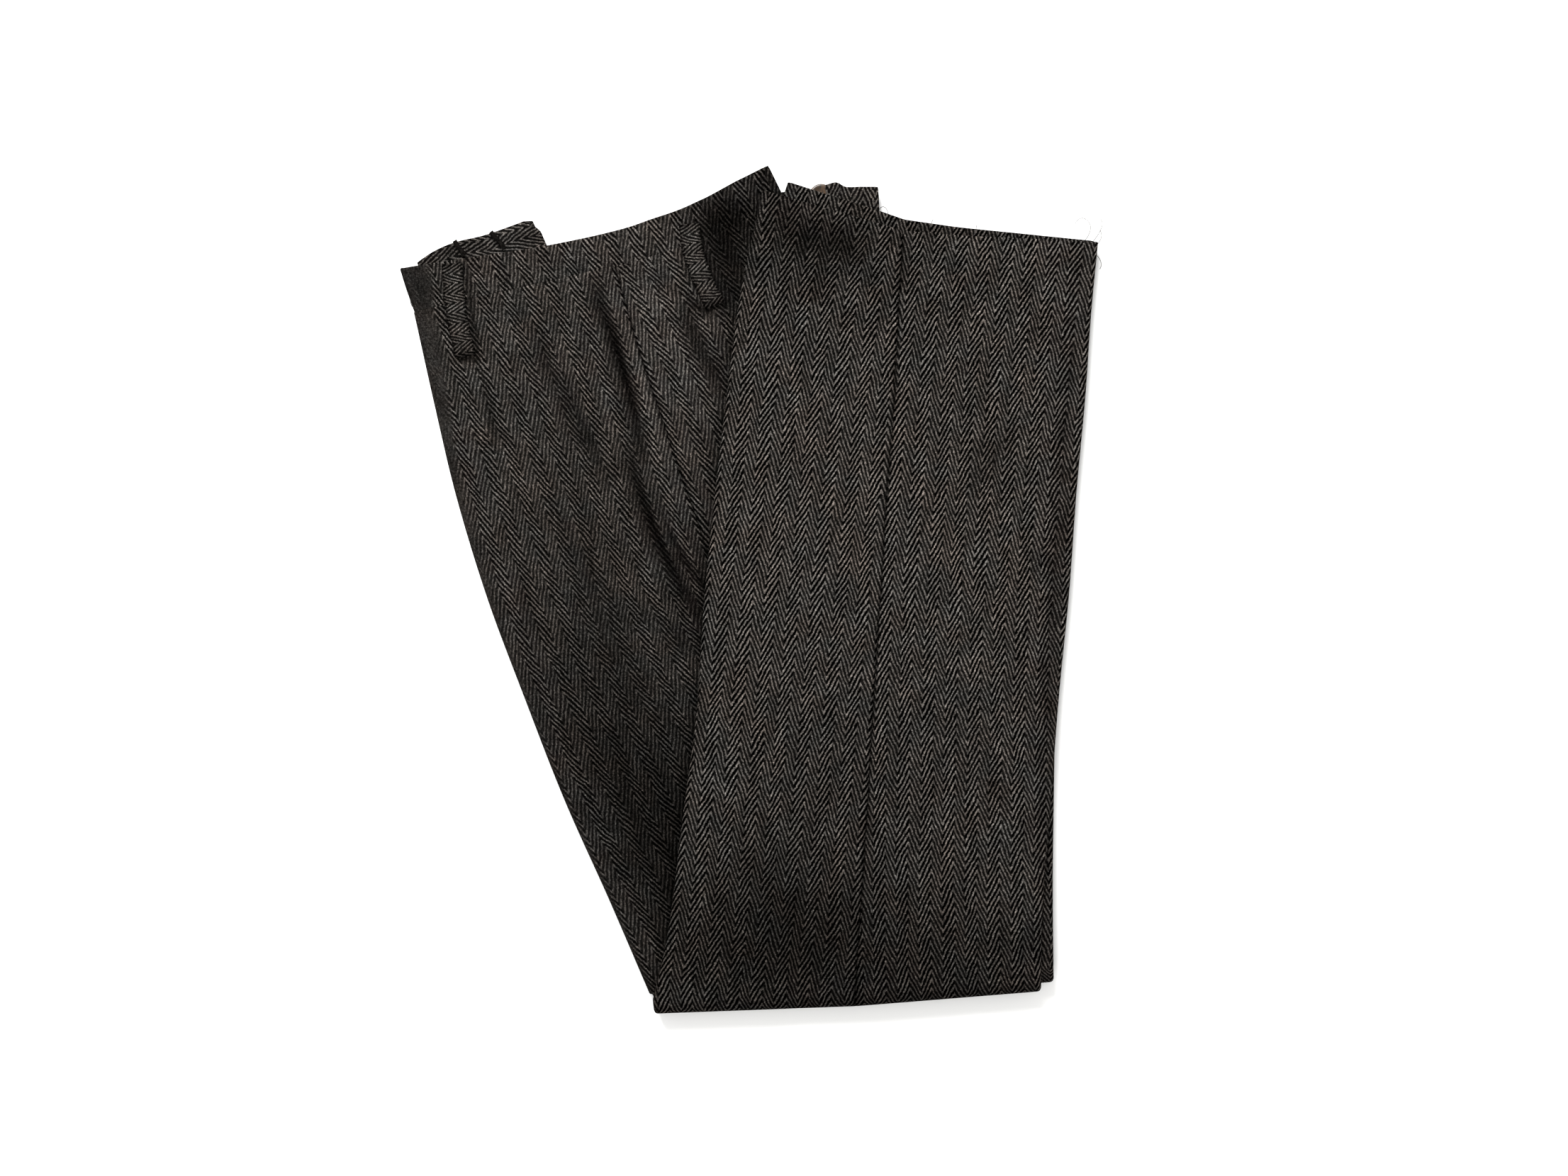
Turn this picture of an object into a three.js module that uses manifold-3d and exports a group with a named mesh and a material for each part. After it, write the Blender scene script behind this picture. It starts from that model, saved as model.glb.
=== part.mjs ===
// Herringbone trousers lying folded on a surface: leg on leg along their creases, then across at the knee.
// Millimetres, +Z up. +Y runs from the knee fold to the waist and hems,
// +X from the back creases to the front ones.
// The origin is on the surface, under the middle of the folded outline.
import * as THREE from "three";
import { mergeVertices } from "three/addons/utils/BufferGeometryUtils.js";
import Module from "manifold-3d";

const wasm = await Module();
wasm.setup();

// Driving dimensions
const clothThick = 1.5; // one panel, with its share of air
const bandThick = 2.2; // a waistband, which is doubled cloth
const gap = 0.3; // between pieces that meet
const coreGap = 0.5; // between the hidden layers and a panel
const legThick = 5; // one leg pressed flat
const thighTop = 2 * legThick + 2 * gap; // two legs on each other
const pileLift = 0.4; // the folded-up legs above the thighs
const shinTop = thighTop + pileLift + 2 * legThick + gap; // all four thicknesses
const shinBesideTop = 2 * legThick + 2 * gap; // the folded-up legs where no thigh is under them
const creaseRadius = legThick / 2;
const kneeReach = 11; // how far the knee fold bulges past its straight part
const tuckUnder = 16; // how far the thigh's outer panels run in under the folded-up legs
const dropWidth = 62; // over which the folded-up legs come down past the thighs' front crease
const loopWidth = 13;
const loopThick = 1.6;
const loopSlack = 1.2; // a belt loop's middle above the cloth
const edgeLoopSize = { width: 3.2, tall: 2.4 }; // a loop that is seen on its edge
const buttonRadius = 8;
const buttonThick = 2.5;

// One row is a section of the thighs, from the waist seam to the knee: back crease, side seam, front crease
const thighRows = [
  { backX: -225, backY: 187, seamX: -90, seamY: 218, frontX: 87, frontY: 243 },
  { backX: -211, backY: 124, seamX: -73, seamY: 160, frontX: 100, frontY: 171 },
  { backX: -197, backY: 65, seamX: -50, seamY: 92, frontX: 115, frontY: 98 },
  { backX: -176, backY: -4, seamX: -26, seamY: 22, frontX: 131, frontY: 24 },
  { backX: -151, backY: -71, seamX: -2, seamY: -49, frontX: 148, frontY: -50 },
  { backX: -124, backY: -140, seamX: 22, seamY: -121, frontX: 165, frontY: -122 },
  { backX: -94, backY: -207, seamX: 46, seamY: -194, frontX: 180, frontY: -193 },
  { backX: -66, backY: -272, seamX: 70, seamY: -267, frontX: 195, frontY: -257 },
];

// One row is a section of the folded-up legs, from the knee to the hem, for the leg that shows on top
const shinRows = [
  { backX: -64, backY: -272, seamX: 71, seamY: -267, frontX: 195, frontY: -257 },
  { backX: -54, backY: -227, seamX: 74, seamY: -220, frontX: 196, frontY: -211 },
  { backX: -44, backY: -149, seamX: 79, seamY: -146, frontX: 202, frontY: -143 },
  { backX: -35, backY: -81, seamX: 83, seamY: -74, frontX: 208, frontY: -72 },
  { backX: -30, backY: -7, seamX: 88, seamY: -1, frontX: 215, frontY: -2 },
  { backX: -23, backY: 62, seamX: 92, seamY: 64, frontX: 220, frontY: 66 },
  { backX: -15, backY: 130, seamX: 97, seamY: 129, frontX: 226, frontY: 131 },
  { backX: -6, backY: 197, seamX: 100, seamY: 190, frontX: 230, frontY: 188 },
  { backX: 9, backY: 267, seamX: 103, seamY: 240, frontX: 234.5, frontY: 234 },
];

// The other leg lies inside the fold and shows only past the first one's hem and front crease
const innerShinRows = [
  { backX: -59, backY: -262, seamX: 72, seamY: -258, frontX: 204, frontY: -252 },
  { backX: -50, backY: -222, seamX: 75, seamY: -216, frontX: 204, frontY: -208 },
  { backX: -40, backY: -149, seamX: 79, seamY: -146, frontX: 205, frontY: -143 },
  { backX: -31, backY: -78, seamX: 83, seamY: -74, frontX: 207, frontY: -72 },
  { backX: -26, backY: -7, seamX: 88, seamY: -1, frontX: 212, frontY: -2 },
  { backX: -19, backY: 62, seamX: 92, seamY: 64, frontX: 218, frontY: 66 },
  { backX: -10, backY: 130, seamX: 97, seamY: 129, frontX: 224, frontY: 131 },
  { backX: 4, backY: 205, seamX: 100, seamY: 194, frontX: 229, frontY: 188 },
  { backX: 26, backY: 274, seamX: 104, seamY: 249, frontX: 232.5, frontY: 236 },
];

// One row is a place along the waist, from the back crease: the band's folded edge and its seam
const waistRows = [
  { topX: -235, topY: 217, seamX: -225, seamY: 187.5 },
  { topX: -204, topY: 222, seamX: -197, seamY: 194 },
  { topX: -170, topY: 227, seamX: -163, seamY: 202 },
  { topX: -133, topY: 233, seamX: -128, seamY: 210 },
  { topX: -84, topY: 244, seamX: -80, seamY: 220 },
  { topX: -65, topY: 250.5, seamX: -57, seamY: 227 },
  { topX: -46, topY: 257, seamX: -35, seamY: 234.5 },
  { topX: -27, topY: 266, seamX: -14, seamY: 244 },
  { topX: -8, topY: 276, seamX: 5, seamY: 252.5 },
  { topX: 12, topY: 286, seamX: 24, seamY: 261 },
];

// The far side's band goes on under the fly to the front crease
const farWaistRows = [
  ...waistRows.slice(0, 5),
  { topX: -46, topY: 253, seamX: -43, seamY: 224.6 },
  { topX: -15, topY: 259, seamX: -14, seamY: 228.7 },
  { topX: 24, topY: 270, seamX: 27, seamY: 236.7 },
  { topX: 56, topY: 271, seamX: 58, seamY: 239.5 },
  { topX: 85.5, topY: 272, seamX: 87, seamY: 243 },
];

// The seat's piece of band, from the back crease to its fold at the centre back,
// where it stands past the front one
const seatRows = [
  { topX: -224, topY: 221, seamX: -213, seamY: 198 },
  { topX: -212, topY: 229, seamX: -201, seamY: 203 },
  { topX: -198, topY: 235, seamX: -187, seamY: 208 },
  { topX: -179, topY: 239.5, seamX: -167, seamY: 212 },
  { topX: -160, topY: 246, seamX: -148, seamY: 218 },
  { topX: -143, topY: 252.5, seamX: -131, seamY: 224 },
];

// Soft troughs (depth below zero) and ridges: where each runs,
// how far it bows to its left, its half width and height
const thighFolds = [
  { fromX: -150, fromY: 192, toX: -96, toY: 82, bow: 0, halfWidth: 8, height: -2.2 },
  { fromX: -99, fromY: 212, toX: -30, toY: -16, bow: -9, halfWidth: 7, height: -4.2 },
  { fromX: -86, fromY: 200, toX: -34, toY: 6, bow: -4, halfWidth: 7, height: 1.8 },
  { fromX: -44, fromY: 194, toX: -8, toY: 136, bow: -3, halfWidth: 7, height: -3.6 },
  { fromX: -28, fromY: 268, toX: -14, toY: 186, bow: 3, halfWidth: 14, height: -4 },
  { fromX: -130, fromY: 58, toX: -64, toY: -86, bow: -4, halfWidth: 14, height: -2.6 },
  { fromX: -70, fromY: -16, toX: -30, toY: -46, bow: -2, halfWidth: 7, height: -2 },
  { fromX: -184, fromY: 158, toX: -168, toY: 88, bow: 0, halfWidth: 3, height: -1.4 },
  { fromX: -178, fromY: 120, toX: -120, toY: -60, bow: -6, halfWidth: 26, height: 1.8 },
];
const shinFolds = [
  { fromX: 12, fromY: 238, toX: 84, toY: 226, bow: 0, halfWidth: 15, height: -2.4 },
  { fromX: 217, fromY: 245, toX: 197, toY: -180, bow: 2, halfWidth: 5, height: -1.3 },
  { fromX: 138, fromY: 64, toX: 182, toY: 112, bow: 0, halfWidth: 9, height: -1.2 },
  { fromX: 8, fromY: -170, toX: 66, toY: -262, bow: 6, halfWidth: 26, height: -1.8 },
  { fromX: 10, fromY: 190, toX: 26, toY: -120, bow: 4, halfWidth: 30, height: 1.2 },
];
const seamTrough = { depth: 0.9, halfWidth: 2.2 };

const clothColour = 0x3b3836;
const bandColour = 0x393634;
const loopColour = 0x45413e;
const buttonColour = 0x6e4522;
const cloth = (color) => new THREE.MeshStandardMaterial({ color, roughness: 0.92, metalness: 0 });

// Plan curves and heights
const { clamp, lerp, smoothstep } = THREE.MathUtils;

// A smooth plan curve through one pair of a table's columns, by share of its length
function edgeOf(rows, xName, yName) {
  const points = rows.map((row) => new THREE.Vector3(row[xName], row[yName], 0));
  const curve = new THREE.CatmullRomCurve3(points, false, "centripetal");
  return (share) => curve.getPoint(clamp(share, 0, 1));
}

function sectionsOf(rows) {
  return {
    back: edgeOf(rows, "backX", "backY"),
    seam: edgeOf(rows, "seamX", "seamY"),
    front: edgeOf(rows, "frontX", "frontY"),
  };
}

const thigh = sectionsOf(thighRows);
const shin = sectionsOf(shinRows);
const innerShin = sectionsOf(innerShinRows);

// Where a curve that runs steadily along Y has this y: its x, or that of the nearer end
function xAt(edge, y) {
  const falls = edge(0).y > edge(1).y;
  let low = 0;
  let high = 1;
  for (let i = 0; i < 30; i++) {
    const middle = (low + high) / 2;
    if (edge(middle).y > y === falls) low = middle;
    else high = middle;
  }
  return edge(low).x;
}

function foldHeight(fold, x, y) {
  const alongX = fold.toX - fold.fromX;
  const alongY = fold.toY - fold.fromY;
  const length = Math.hypot(alongX, alongY);
  const share = ((x - fold.fromX) * alongX + (y - fold.fromY) * alongY) / (length * length);
  if (share <= 0 || share >= 1) return 0;
  const aside = ((y - fold.fromY) * alongX - (x - fold.fromX) * alongY) / length;
  const off = (aside - fold.bow * 4 * share * (share - 1)) / fold.halfWidth;
  return fold.height * Math.exp(-off * off) * Math.sqrt(Math.sin(Math.PI * share));
}

const allFolds = (folds, x, y) => folds.reduce((sum, fold) => sum + foldHeight(fold, x, y), 0);

// The top of the two thighs. The folds fade out towards the back crease, where the cloth turns under
function thighHeight(x, y) {
  const fromCrease = x - xAt(thigh.back, y);
  return thighTop + allFolds(thighFolds, x, y) * smoothstep(fromCrease, 2, 22);
}

// How much higher the thigh's outer front panel meets its waistband than a straight section would
const waistSeam = edgeOf(waistRows, "seamX", "seamY");
function waistRise(x) {
  let low = 0;
  let high = 1;
  for (let i = 0; i < 30; i++) {
    const middle = (low + high) / 2;
    if (waistSeam(middle).x < x) low = middle;
    else high = middle;
  }
  const { seamX, seamY, frontX, frontY } = thighRows[0];
  return Math.max(0, waistSeam(low).y - lerp(seamY, frontY, (x - seamX) / (frontX - seamX)));
}

// How far a point is in front of the thighs' front crease, where the folded-up legs come down to the surface
const pastThigh = (x, y) => x - xAt(thigh.front, y);

function shinHeight(x, y) {
  const drop = (shinTop - shinBesideTop) * smoothstep(pastThigh(x, y), 0, dropWidth);
  const fromEdges = Math.min(x - xAt(shin.back, y), xAt(shin.front, y) - x);
  return shinTop - drop + allFolds(shinFolds, x, y) * smoothstep(fromEdges, 1, 14);
}

// Solids
function geometryOf(positions, triangles) {
  const geometry = new THREE.BufferGeometry();
  geometry.setAttribute("position", new THREE.Float32BufferAttribute(positions, 3));
  geometry.setIndex(triangles);
  return mergeVertices(geometry, 1e-4);
}

function signedVolume(geometry) {
  const place = geometry.getAttribute("position");
  const index = geometry.getIndex().array;
  const corners = [new THREE.Vector3(), new THREE.Vector3(), new THREE.Vector3()];
  let volume = 0;
  for (let i = 0; i < index.length; i += 3) {
    corners.forEach((corner, k) => corner.fromBufferAttribute(place, index[i + k]));
    volume += corners[0].dot(corners[1].clone().cross(corners[2])) / 6;
  }
  return volume;
}

function solidOf(geometry) {
  const index = Uint32Array.from(geometry.getIndex().array);
  if (signedVolume(geometry) < 0) {
    for (let i = 0; i < index.length; i += 3) [index[i + 1], index[i + 2]] = [index[i + 2], index[i + 1]];
  }
  const vertProperties = geometry.getAttribute("position").array;
  return new wasm.Manifold(new wasm.Mesh({ numProp: 3, vertProperties, triVerts: index }));
}

function geometryFrom(solid) {
  const { numProp, numVert, vertProperties, triVerts } = solid.getMesh();
  const positions = [];
  for (let i = 0; i < numVert; i++) positions.push(...vertProperties.subarray(i * numProp, i * numProp + 3));
  const geometry = new THREE.BufferGeometry();
  geometry.setAttribute("position", new THREE.Float32BufferAttribute(positions, 3));
  geometry.setIndex([...triVerts]);
  geometry.computeVertexNormals();
  return geometry;
}

// A closed wall of cloth between two grids of points with the same rows:
// the side that shows, and the side within
function wall(outer, inner) {
  const rows = outer.length;
  const columns = outer[0].length;
  const positions = [...outer, ...inner].flat().flatMap((point) => [point.x, point.y, point.z]);
  const at = (side, i, j) => (side * rows + i) * columns + j;
  const triangles = [];
  const quad = (a, b, c, d) => triangles.push(a, b, c, a, c, d);
  for (let i = 0; i + 1 < rows; i++) {
    for (let j = 0; j + 1 < columns; j++) {
      quad(at(0, i, j), at(0, i + 1, j), at(0, i + 1, j + 1), at(0, i, j + 1));
      quad(at(1, i, j), at(1, i, j + 1), at(1, i + 1, j + 1), at(1, i + 1, j));
    }
    quad(at(0, i, 0), at(1, i, 0), at(1, i + 1, 0), at(0, i + 1, 0));
    quad(at(0, i, columns - 1), at(0, i + 1, columns - 1), at(1, i + 1, columns - 1), at(1, i, columns - 1));
  }
  for (let j = 0; j + 1 < columns; j++) {
    quad(at(0, 0, j), at(0, 0, j + 1), at(1, 0, j + 1), at(1, 0, j));
    quad(at(0, rows - 1, j), at(1, rows - 1, j), at(1, rows - 1, j + 1), at(0, rows - 1, j + 1));
  }
  return solidOf(geometryOf(positions, triangles));
}

const up = new THREE.Vector3(0, 0, 1);
const down = new THREE.Vector3(0, 0, -1);
const shares = (count) => Array.from({ length: count + 1 }, (_, i) => i / count);

// One section of a panel: flat from its seam to the crease, then round the crease to the layer's other side.
// `at(s)` is the outer surface s mm from the seam, `across` points to the crease and `inward` into the cloth.
function panelSection({ at, across, inward, width, start = gap / 2 }, spread, flatColumns) {
  const outer = [];
  const inner = [];
  const flatEnd = width - creaseRadius;
  for (const share of shares(flatColumns)) {
    const surface = at(lerp(start - spread, flatEnd, share));
    outer.push(surface.clone().addScaledVector(inward, -spread));
    inner.push(surface.clone().addScaledVector(inward, clothThick + spread));
  }
  const radius = creaseRadius;
  const centre = at(flatEnd).clone().addScaledVector(inward, radius);
  for (const degrees of [35, 70, 105, spread ? 175 : 160]) {
    const angle = THREE.MathUtils.degToRad(degrees);
    const out = across.clone().multiplyScalar(Math.sin(angle)).addScaledVector(inward, -Math.cos(angle));
    outer.push(centre.clone().addScaledVector(out, radius + spread));
    inner.push(centre.clone().addScaledVector(out, Math.max(radius - clothThick - spread, 0.2)));
  }
  return { outer, inner };
}

function panel(sections, spread, flatColumns) {
  const made = sections.map((section) => panelSection(section, spread, flatColumns));
  return wall(made.map((row) => row.outer), made.map((row) => row.inner));
}

// A straight section between a seam point and a crease point, at the height that `height` gives
function planSection(seam, crease, height, inward) {
  const across = crease.clone().sub(seam);
  const width = across.length();
  across.normalize();
  const at = (s) => {
    const point = seam.clone().addScaledVector(across, s);
    point.z = height(point.x, point.y);
    return point;
  };
  return { at, across, inward, width };
}

// The leg that is undermost at the thigh and on top once folded up: hem, knee bend and underside in one panel
const kneeOut = new THREE.Vector3(0.058, -0.998, 0);
function wholeLegPanel(side, spread = 0) {
  const shinSection = (share) => planSection(shin.seam(share), shin[side](share), shinHeight, down);
  const sections = shares(20).reverse().map(shinSection);
  const seamEnd = shin.seam(0);
  const creaseEnd = shin[side](0);
  const knee = planSection(seamEnd, creaseEnd, shinHeight, down);
  for (const share of shares(8).slice(1, -1)) {
    const angle = Math.PI * share;
    const inward = new THREE.Vector3(0, 0, -Math.cos(angle)).addScaledVector(kneeOut, -Math.sin(angle));
    const at = (s) => {
      const point = knee.at(s);
      const half = point.z / 2;
      return point.setZ(half + half * Math.cos(angle)).addScaledVector(kneeOut, kneeReach * Math.sin(angle));
    };
    sections.push({ at, across: knee.across, inward, width: knee.width });
  }
  const lastRow = thighRows.length - 1;
  for (const share of shares(lastRow).reverse()) {
    const seam = share === 1 ? seamEnd : thigh.seam(share);
    const crease = share === 1 ? creaseEnd : thigh[side](share);
    sections.push(planSection(seam, crease, () => 0, up));
  }
  for (const end of [sections[0], sections.at(-1)]) {
    const surface = end.at;
    end.at = (s) => surface(s).add(new THREE.Vector3(0, spread, 0));
  }
  return panel(sections, spread, 6);
}

// The thigh's outer back panel, from the back crease to the side seam,
// or to where it runs in under the folded-up leg
const pileEdge = (y) => xAt(shin.back, y) + tuckUnder;
const thighEnd = 0.995; // share of the thigh's length where its outer panels stop, inside the knee fold
function thighBackPanel(spread = 0) {
  const sections = shares(26).map((part) => {
    const share = part * thighEnd;
    const section = planSection(thigh.seam(share), thigh.back(share), thighHeight, down);
    let start = gap / 2;
    while (section.at(start).x > pileEdge(section.at(start).y)) start += 0.5;
    const seamDip = (s) => seamTrough.depth * Math.exp(-((s / seamTrough.halfWidth) ** 2));
    const at = (s) => section.at(s).add(new THREE.Vector3(0, 0, -seamDip(s)));
    return { ...section, at, start };
  });
  for (const [end, sign] of [[sections[0], 1], [sections.at(-1), -1]]) {
    const surface = end.at;
    end.at = (s) => surface(s).add(new THREE.Vector3(0, sign * spread, 0));
  }
  return panel(sections, spread, 16);
}

// The thigh's outer front panel: from the side seam to where it runs in under the folded-up leg
function thighFrontPanel(spread = 0) {
  const outer = [];
  const inner = [];
  const lastShare = 0.47;
  for (const part of shares(14)) {
    const share = part * lastShare;
    const section = planSection(thigh.seam(share), thigh.front(share), thighHeight, down);
    let end = 2;
    while (section.at(end).x < pileEdge(section.at(end).y)) end += 0.5;
    const outerRow = [];
    const innerRow = [];
    for (const columnShare of shares(9)) {
      const s = lerp(gap / 2 - spread, end + spread, columnShare);
      const surface = section.at(s);
      surface.y += waistRise(surface.x) * (1 - smoothstep(share, 0, 0.16));
      surface.z = thighHeight(surface.x, surface.y);
      surface.z -= seamTrough.depth * Math.exp(-((s / seamTrough.halfWidth) ** 2));
      outerRow.push(surface.clone().addScaledVector(up, spread));
      innerRow.push(surface.clone().addScaledVector(up, -clothThick - spread));
    }
    const endShift = part === 0 ? spread : part === 1 ? -spread : 0;
    for (const point of [...outerRow, ...innerRow]) point.y += endShift;
    outer.push(outerRow);
    inner.push(innerRow);
  }
  return wall(outer, inner);
}

// A length of waistband with rounded long edges. `height` is its outer surface, which faces `facing`
function band(rows, height, facing, { steps, turned = 0, spread = 0 }) {
  const top = edgeOf(rows, "topX", "topY");
  const seam = edgeOf(rows, "seamX", "seamY");
  const outer = [];
  const inner = [];
  const profile = [
    { share: 0, sink: 0.35 },
    { share: 0.06, sink: 0 },
    { share: 0.5, sink: -0.25 },
    { share: 0.93, sink: 0.1 },
    { share: 1, sink: 0.9 },
  ];
  const stationAt = (share) => {
    const low = seam(share);
    const high = top(share);
    const rise = high.clone().sub(low).normalize();
    low.addScaledVector(rise, 2 * gap - spread);
    high.addScaledVector(rise, spread);
    return { low, high };
  };
  const noShift = new THREE.Vector3();
  const put = ({ low, high }, { shift = noShift, depth = 0, out = facing, wallThick = bandThick }) => {
    const outerRow = [];
    const innerRow = [];
    for (const { share, sink } of profile) {
      const plan = low.clone().lerp(high, share);
      const surface = plan.clone().setZ(height(plan.x, plan.y)).addScaledVector(facing, -depth).add(shift);
      outerRow.push(surface.clone().addScaledVector(out, spread - Math.max(sink, facing.z * sink)));
      innerRow.push(surface.clone().addScaledVector(out, -wallThick - spread));
    }
    outer.push(outerRow);
    inner.push(innerRow);
  };
  if (turned) {
    const start = stationAt(0);
    const outwards = start.low.clone().sub(stationAt(0.02).low).normalize();
    for (const degrees of [150, 105, 70, 35]) {
      const angle = THREE.MathUtils.degToRad(degrees);
      const out = outwards.clone().multiplyScalar(Math.sin(angle)).addScaledVector(facing, Math.cos(angle));
      const shift = outwards.clone().multiplyScalar(turned * (Math.sin(angle) - 1));
      put(start, { shift, depth: turned * (1 - Math.cos(angle)), out, wallThick: turned - 0.4 });
    }
  }
  for (const share of shares(steps)) put(stationAt(lerp(turned / 300, 1, share)), {});
  return wall(outer, inner);
}

// A closed flat tube through sections with round edges: what is inside a pressed leg
function flatTube(sections, columns = 8, edgePoints = 3) {
  const rings = sections.map(({ left, right, low, high, round }) => {
    const across = right.clone().sub(left).normalize();
    const ring = [];
    const start = left.clone().addScaledVector(across, round);
    const end = right.clone().addScaledVector(across, -round);
    const line = (height, order) => {
      for (const share of order) {
        const point = start.clone().lerp(end, share);
        ring.push(point.setZ(height(point.x, point.y)));
      }
    };
    const edge = (corner, sign) => {
      const start = corner.clone().addScaledVector(across, -sign * round);
      const top = high(start.x, start.y);
      const bottom = low(start.x, start.y);
      const middle = (top + bottom) / 2;
      const half = (top - bottom) / 2;
      for (let k = 1; k <= edgePoints; k++) {
        const angle = (Math.PI * k) / (edgePoints + 1);
        const point = start.clone().addScaledVector(across, sign * round * Math.sin(angle));
        ring.push(point.setZ(middle + sign * half * Math.cos(angle)));
      }
    };
    line(high, shares(columns));
    edge(right, 1);
    line(low, shares(columns).reverse());
    edge(left, -1);
    return ring;
  });
  const count = rings[0].length;
  const positions = rings.flat().flatMap((point) => [point.x, point.y, point.z]);
  const triangles = [];
  for (let i = 0; i + 1 < rings.length; i++) {
    for (let j = 0; j < count; j++) {
      const next = (j + 1) % count;
      const here = i * count;
      triangles.push(here + j, here + count + j, here + count + next);
      triangles.push(here + j, here + count + next, here + next);
    }
  }
  for (const [ring, flip] of [[0, false], [rings.length - 1, true]]) {
    const middle = positions.length / 3;
    const total = rings[ring].reduce((sum, point) => sum.add(point), new THREE.Vector3());
    const centre = total.divideScalar(count);
    positions.push(centre.x, centre.y, centre.z);
    for (let j = 0; j < count; j++) {
      const a = ring * count + j;
      const b = ring * count + ((j + 1) % count);
      triangles.push(middle, flip ? b : a, flip ? a : b);
    }
  }
  return solidOf(geometryOf(positions, triangles));
}

// Everything that the outer panels hide, and the inner leg's crease and hem that show past them
function hiddenLayers(cutters) {
  const inset = creaseRadius + 0.1;
  const slab = (edges, count, range, options) => {
    const { low, high, back = inset, front = inset, round = 0.8, hemShort = 0, columns } = options;
    return flatTube(
      shares(count).map((part) => {
        const share = lerp(range[0], range[1], part);
        const across = edges.front(share).clone().sub(edges.back(share)).normalize();
        const left = edges.back(share).clone().addScaledVector(across, back);
        const right = edges.front(share).clone().addScaledVector(across, -front);
        if (part === 1) [left, right].forEach((point) => point.setY(point.y - hemShort));
        return { left, right, low, high, round };
      }),
      columns,
    );
  };
  const underThighs = slab(thigh, 8, [0.02, 0.99], {
    low: () => clothThick + gap,
    high: () => legThick + 0.8,
  });
  const upperThigh = slab(thigh, 22, [0.02, 0.99], {
    low: () => legThick + gap,
    high: (x, y) => thighHeight(x, y) - clothThick / 2,
    front: -1.5,
    round: 2.4,
    columns: 24,
  });
  const landing = (x, y) => (thighHeight(x, y) - 2) * (1 - smoothstep(pastThigh(x, y), 5, 26));
  const innerLeg = slab(innerShin, 16, [0, 1], {
    low: landing,
    high: (x, y) => shinHeight(x, y) - legThick - gap,
    back: 0,
    front: 0,
    round: 2.4,
  });
  const outerLegFill = slab(shin, 10, [0, 1], {
    low: (x, y) => shinHeight(x, y) - legThick - 1,
    high: (x, y) => shinHeight(x, y) - clothThick - gap,
    hemShort: 6,
  });
  const bend = (short, back, front, round) =>
    flatTube(
      [-0.25, 0, 0.25, 0.5, 0.72, 0.9, 0.985].map((part) => {
        const sideways = shin.front(0).clone().sub(shin.back(0)).normalize();
        const out = kneeOut.clone().multiplyScalar(part < 0 ? part * 40 : (kneeReach - short) * part);
        const left = shin.back(0).clone().addScaledVector(sideways, back).add(out);
        const right = shin.front(0).clone().addScaledVector(sideways, -front).add(out);
        const squeeze = part < 0 ? 1 : Math.sqrt(1 - part * part);
        const half = (x, y) => (shinHeight(x, y) / 2 - short) * squeeze;
        const middle = (x, y) => shinHeight(x, y) / 2;
        const low = (x, y) => middle(x, y) - half(x, y);
        const high = (x, y) => middle(x, y) + half(x, y);
        return { left, right, low, high, round };
      }),
      6,
    );
  const outerBend = bend(clothThick + gap, inset, inset, 0.8);
  const innerBend = bend(legThick + gap, 0, -8.5, 2.4);
  const parts = [upperThigh, innerLeg, outerLegFill, outerBend, innerBend];
  const joined = parts.reduce((whole, part) => whole.add(part), underThighs);
  const cut = cutters.reduce((whole, cutter) => whole.subtract(cutter), joined);
  const whole = cut.decompose().sort((a, b) => b.volume() - a.volume())[0];
  return whole.asOriginal().simplify(0.05);
}

// A belt loop: a strip along a route, sewn down at both ends and standing clear between them
function beltLoop(route) {
  const curve = new THREE.CatmullRomCurve3(route.map(({ x, y }) => new THREE.Vector3(x, y, 0)));
  const outer = [];
  const inner = [];
  for (const share of shares(12)) {
    const middle = curve.getPoint(share);
    const along = curve.getTangent(share);
    const sideways = new THREE.Vector3(along.y, -along.x, 0).normalize();
    const rise = 2 * gap + loopSlack * Math.sin(Math.PI * share) ** 0.5;
    const outerRow = [];
    const innerRow = [];
    for (const side of [-1, -0.8, 0, 0.8, 1]) {
      const point = middle.clone().addScaledVector(sideways, (side * loopWidth) / 2);
      const base = Math.max(thighHeight(middle.x, middle.y), thighHeight(point.x, point.y)) + rise;
      innerRow.push(point.clone().setZ(base));
      outerRow.push(point.clone().setZ(base + (Math.abs(side) === 1 ? loopThick * 0.55 : loopThick)));
    }
    outer.push(outerRow);
    inner.push(innerRow);
  }
  return wall(outer, inner);
}

// A narrow loop seen on its edge: a low upright strip across the seat's piece of band
function edgeLoop({ fromX, fromY, toX, toY }, base) {
  const { width, tall } = edgeLoopSize;
  const along = new THREE.Vector3(toX - fromX, toY - fromY, 0);
  const sideways = new THREE.Vector3(along.y, -along.x, 0).normalize();
  const outer = [];
  const inner = [];
  for (const share of shares(6)) {
    const middle = new THREE.Vector3(fromX, fromY, 0).addScaledVector(along, share);
    const crown = tall - 1.1 * (1 - Math.sin(Math.PI * clamp(share + 0.12, 0, 1)));
    const reach = width / 2;
    const row = [-1, -0.6, 0.6, 1].map((side) => middle.clone().addScaledVector(sideways, side * reach));
    outer.push(row.map((point, k) => point.clone().setZ(base + crown - (k === 0 || k === 3 ? 0.7 : 0))));
    inner.push(row.map((point) => point.clone().setZ(base)));
  }
  return wall(outer, inner);
}

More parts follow.
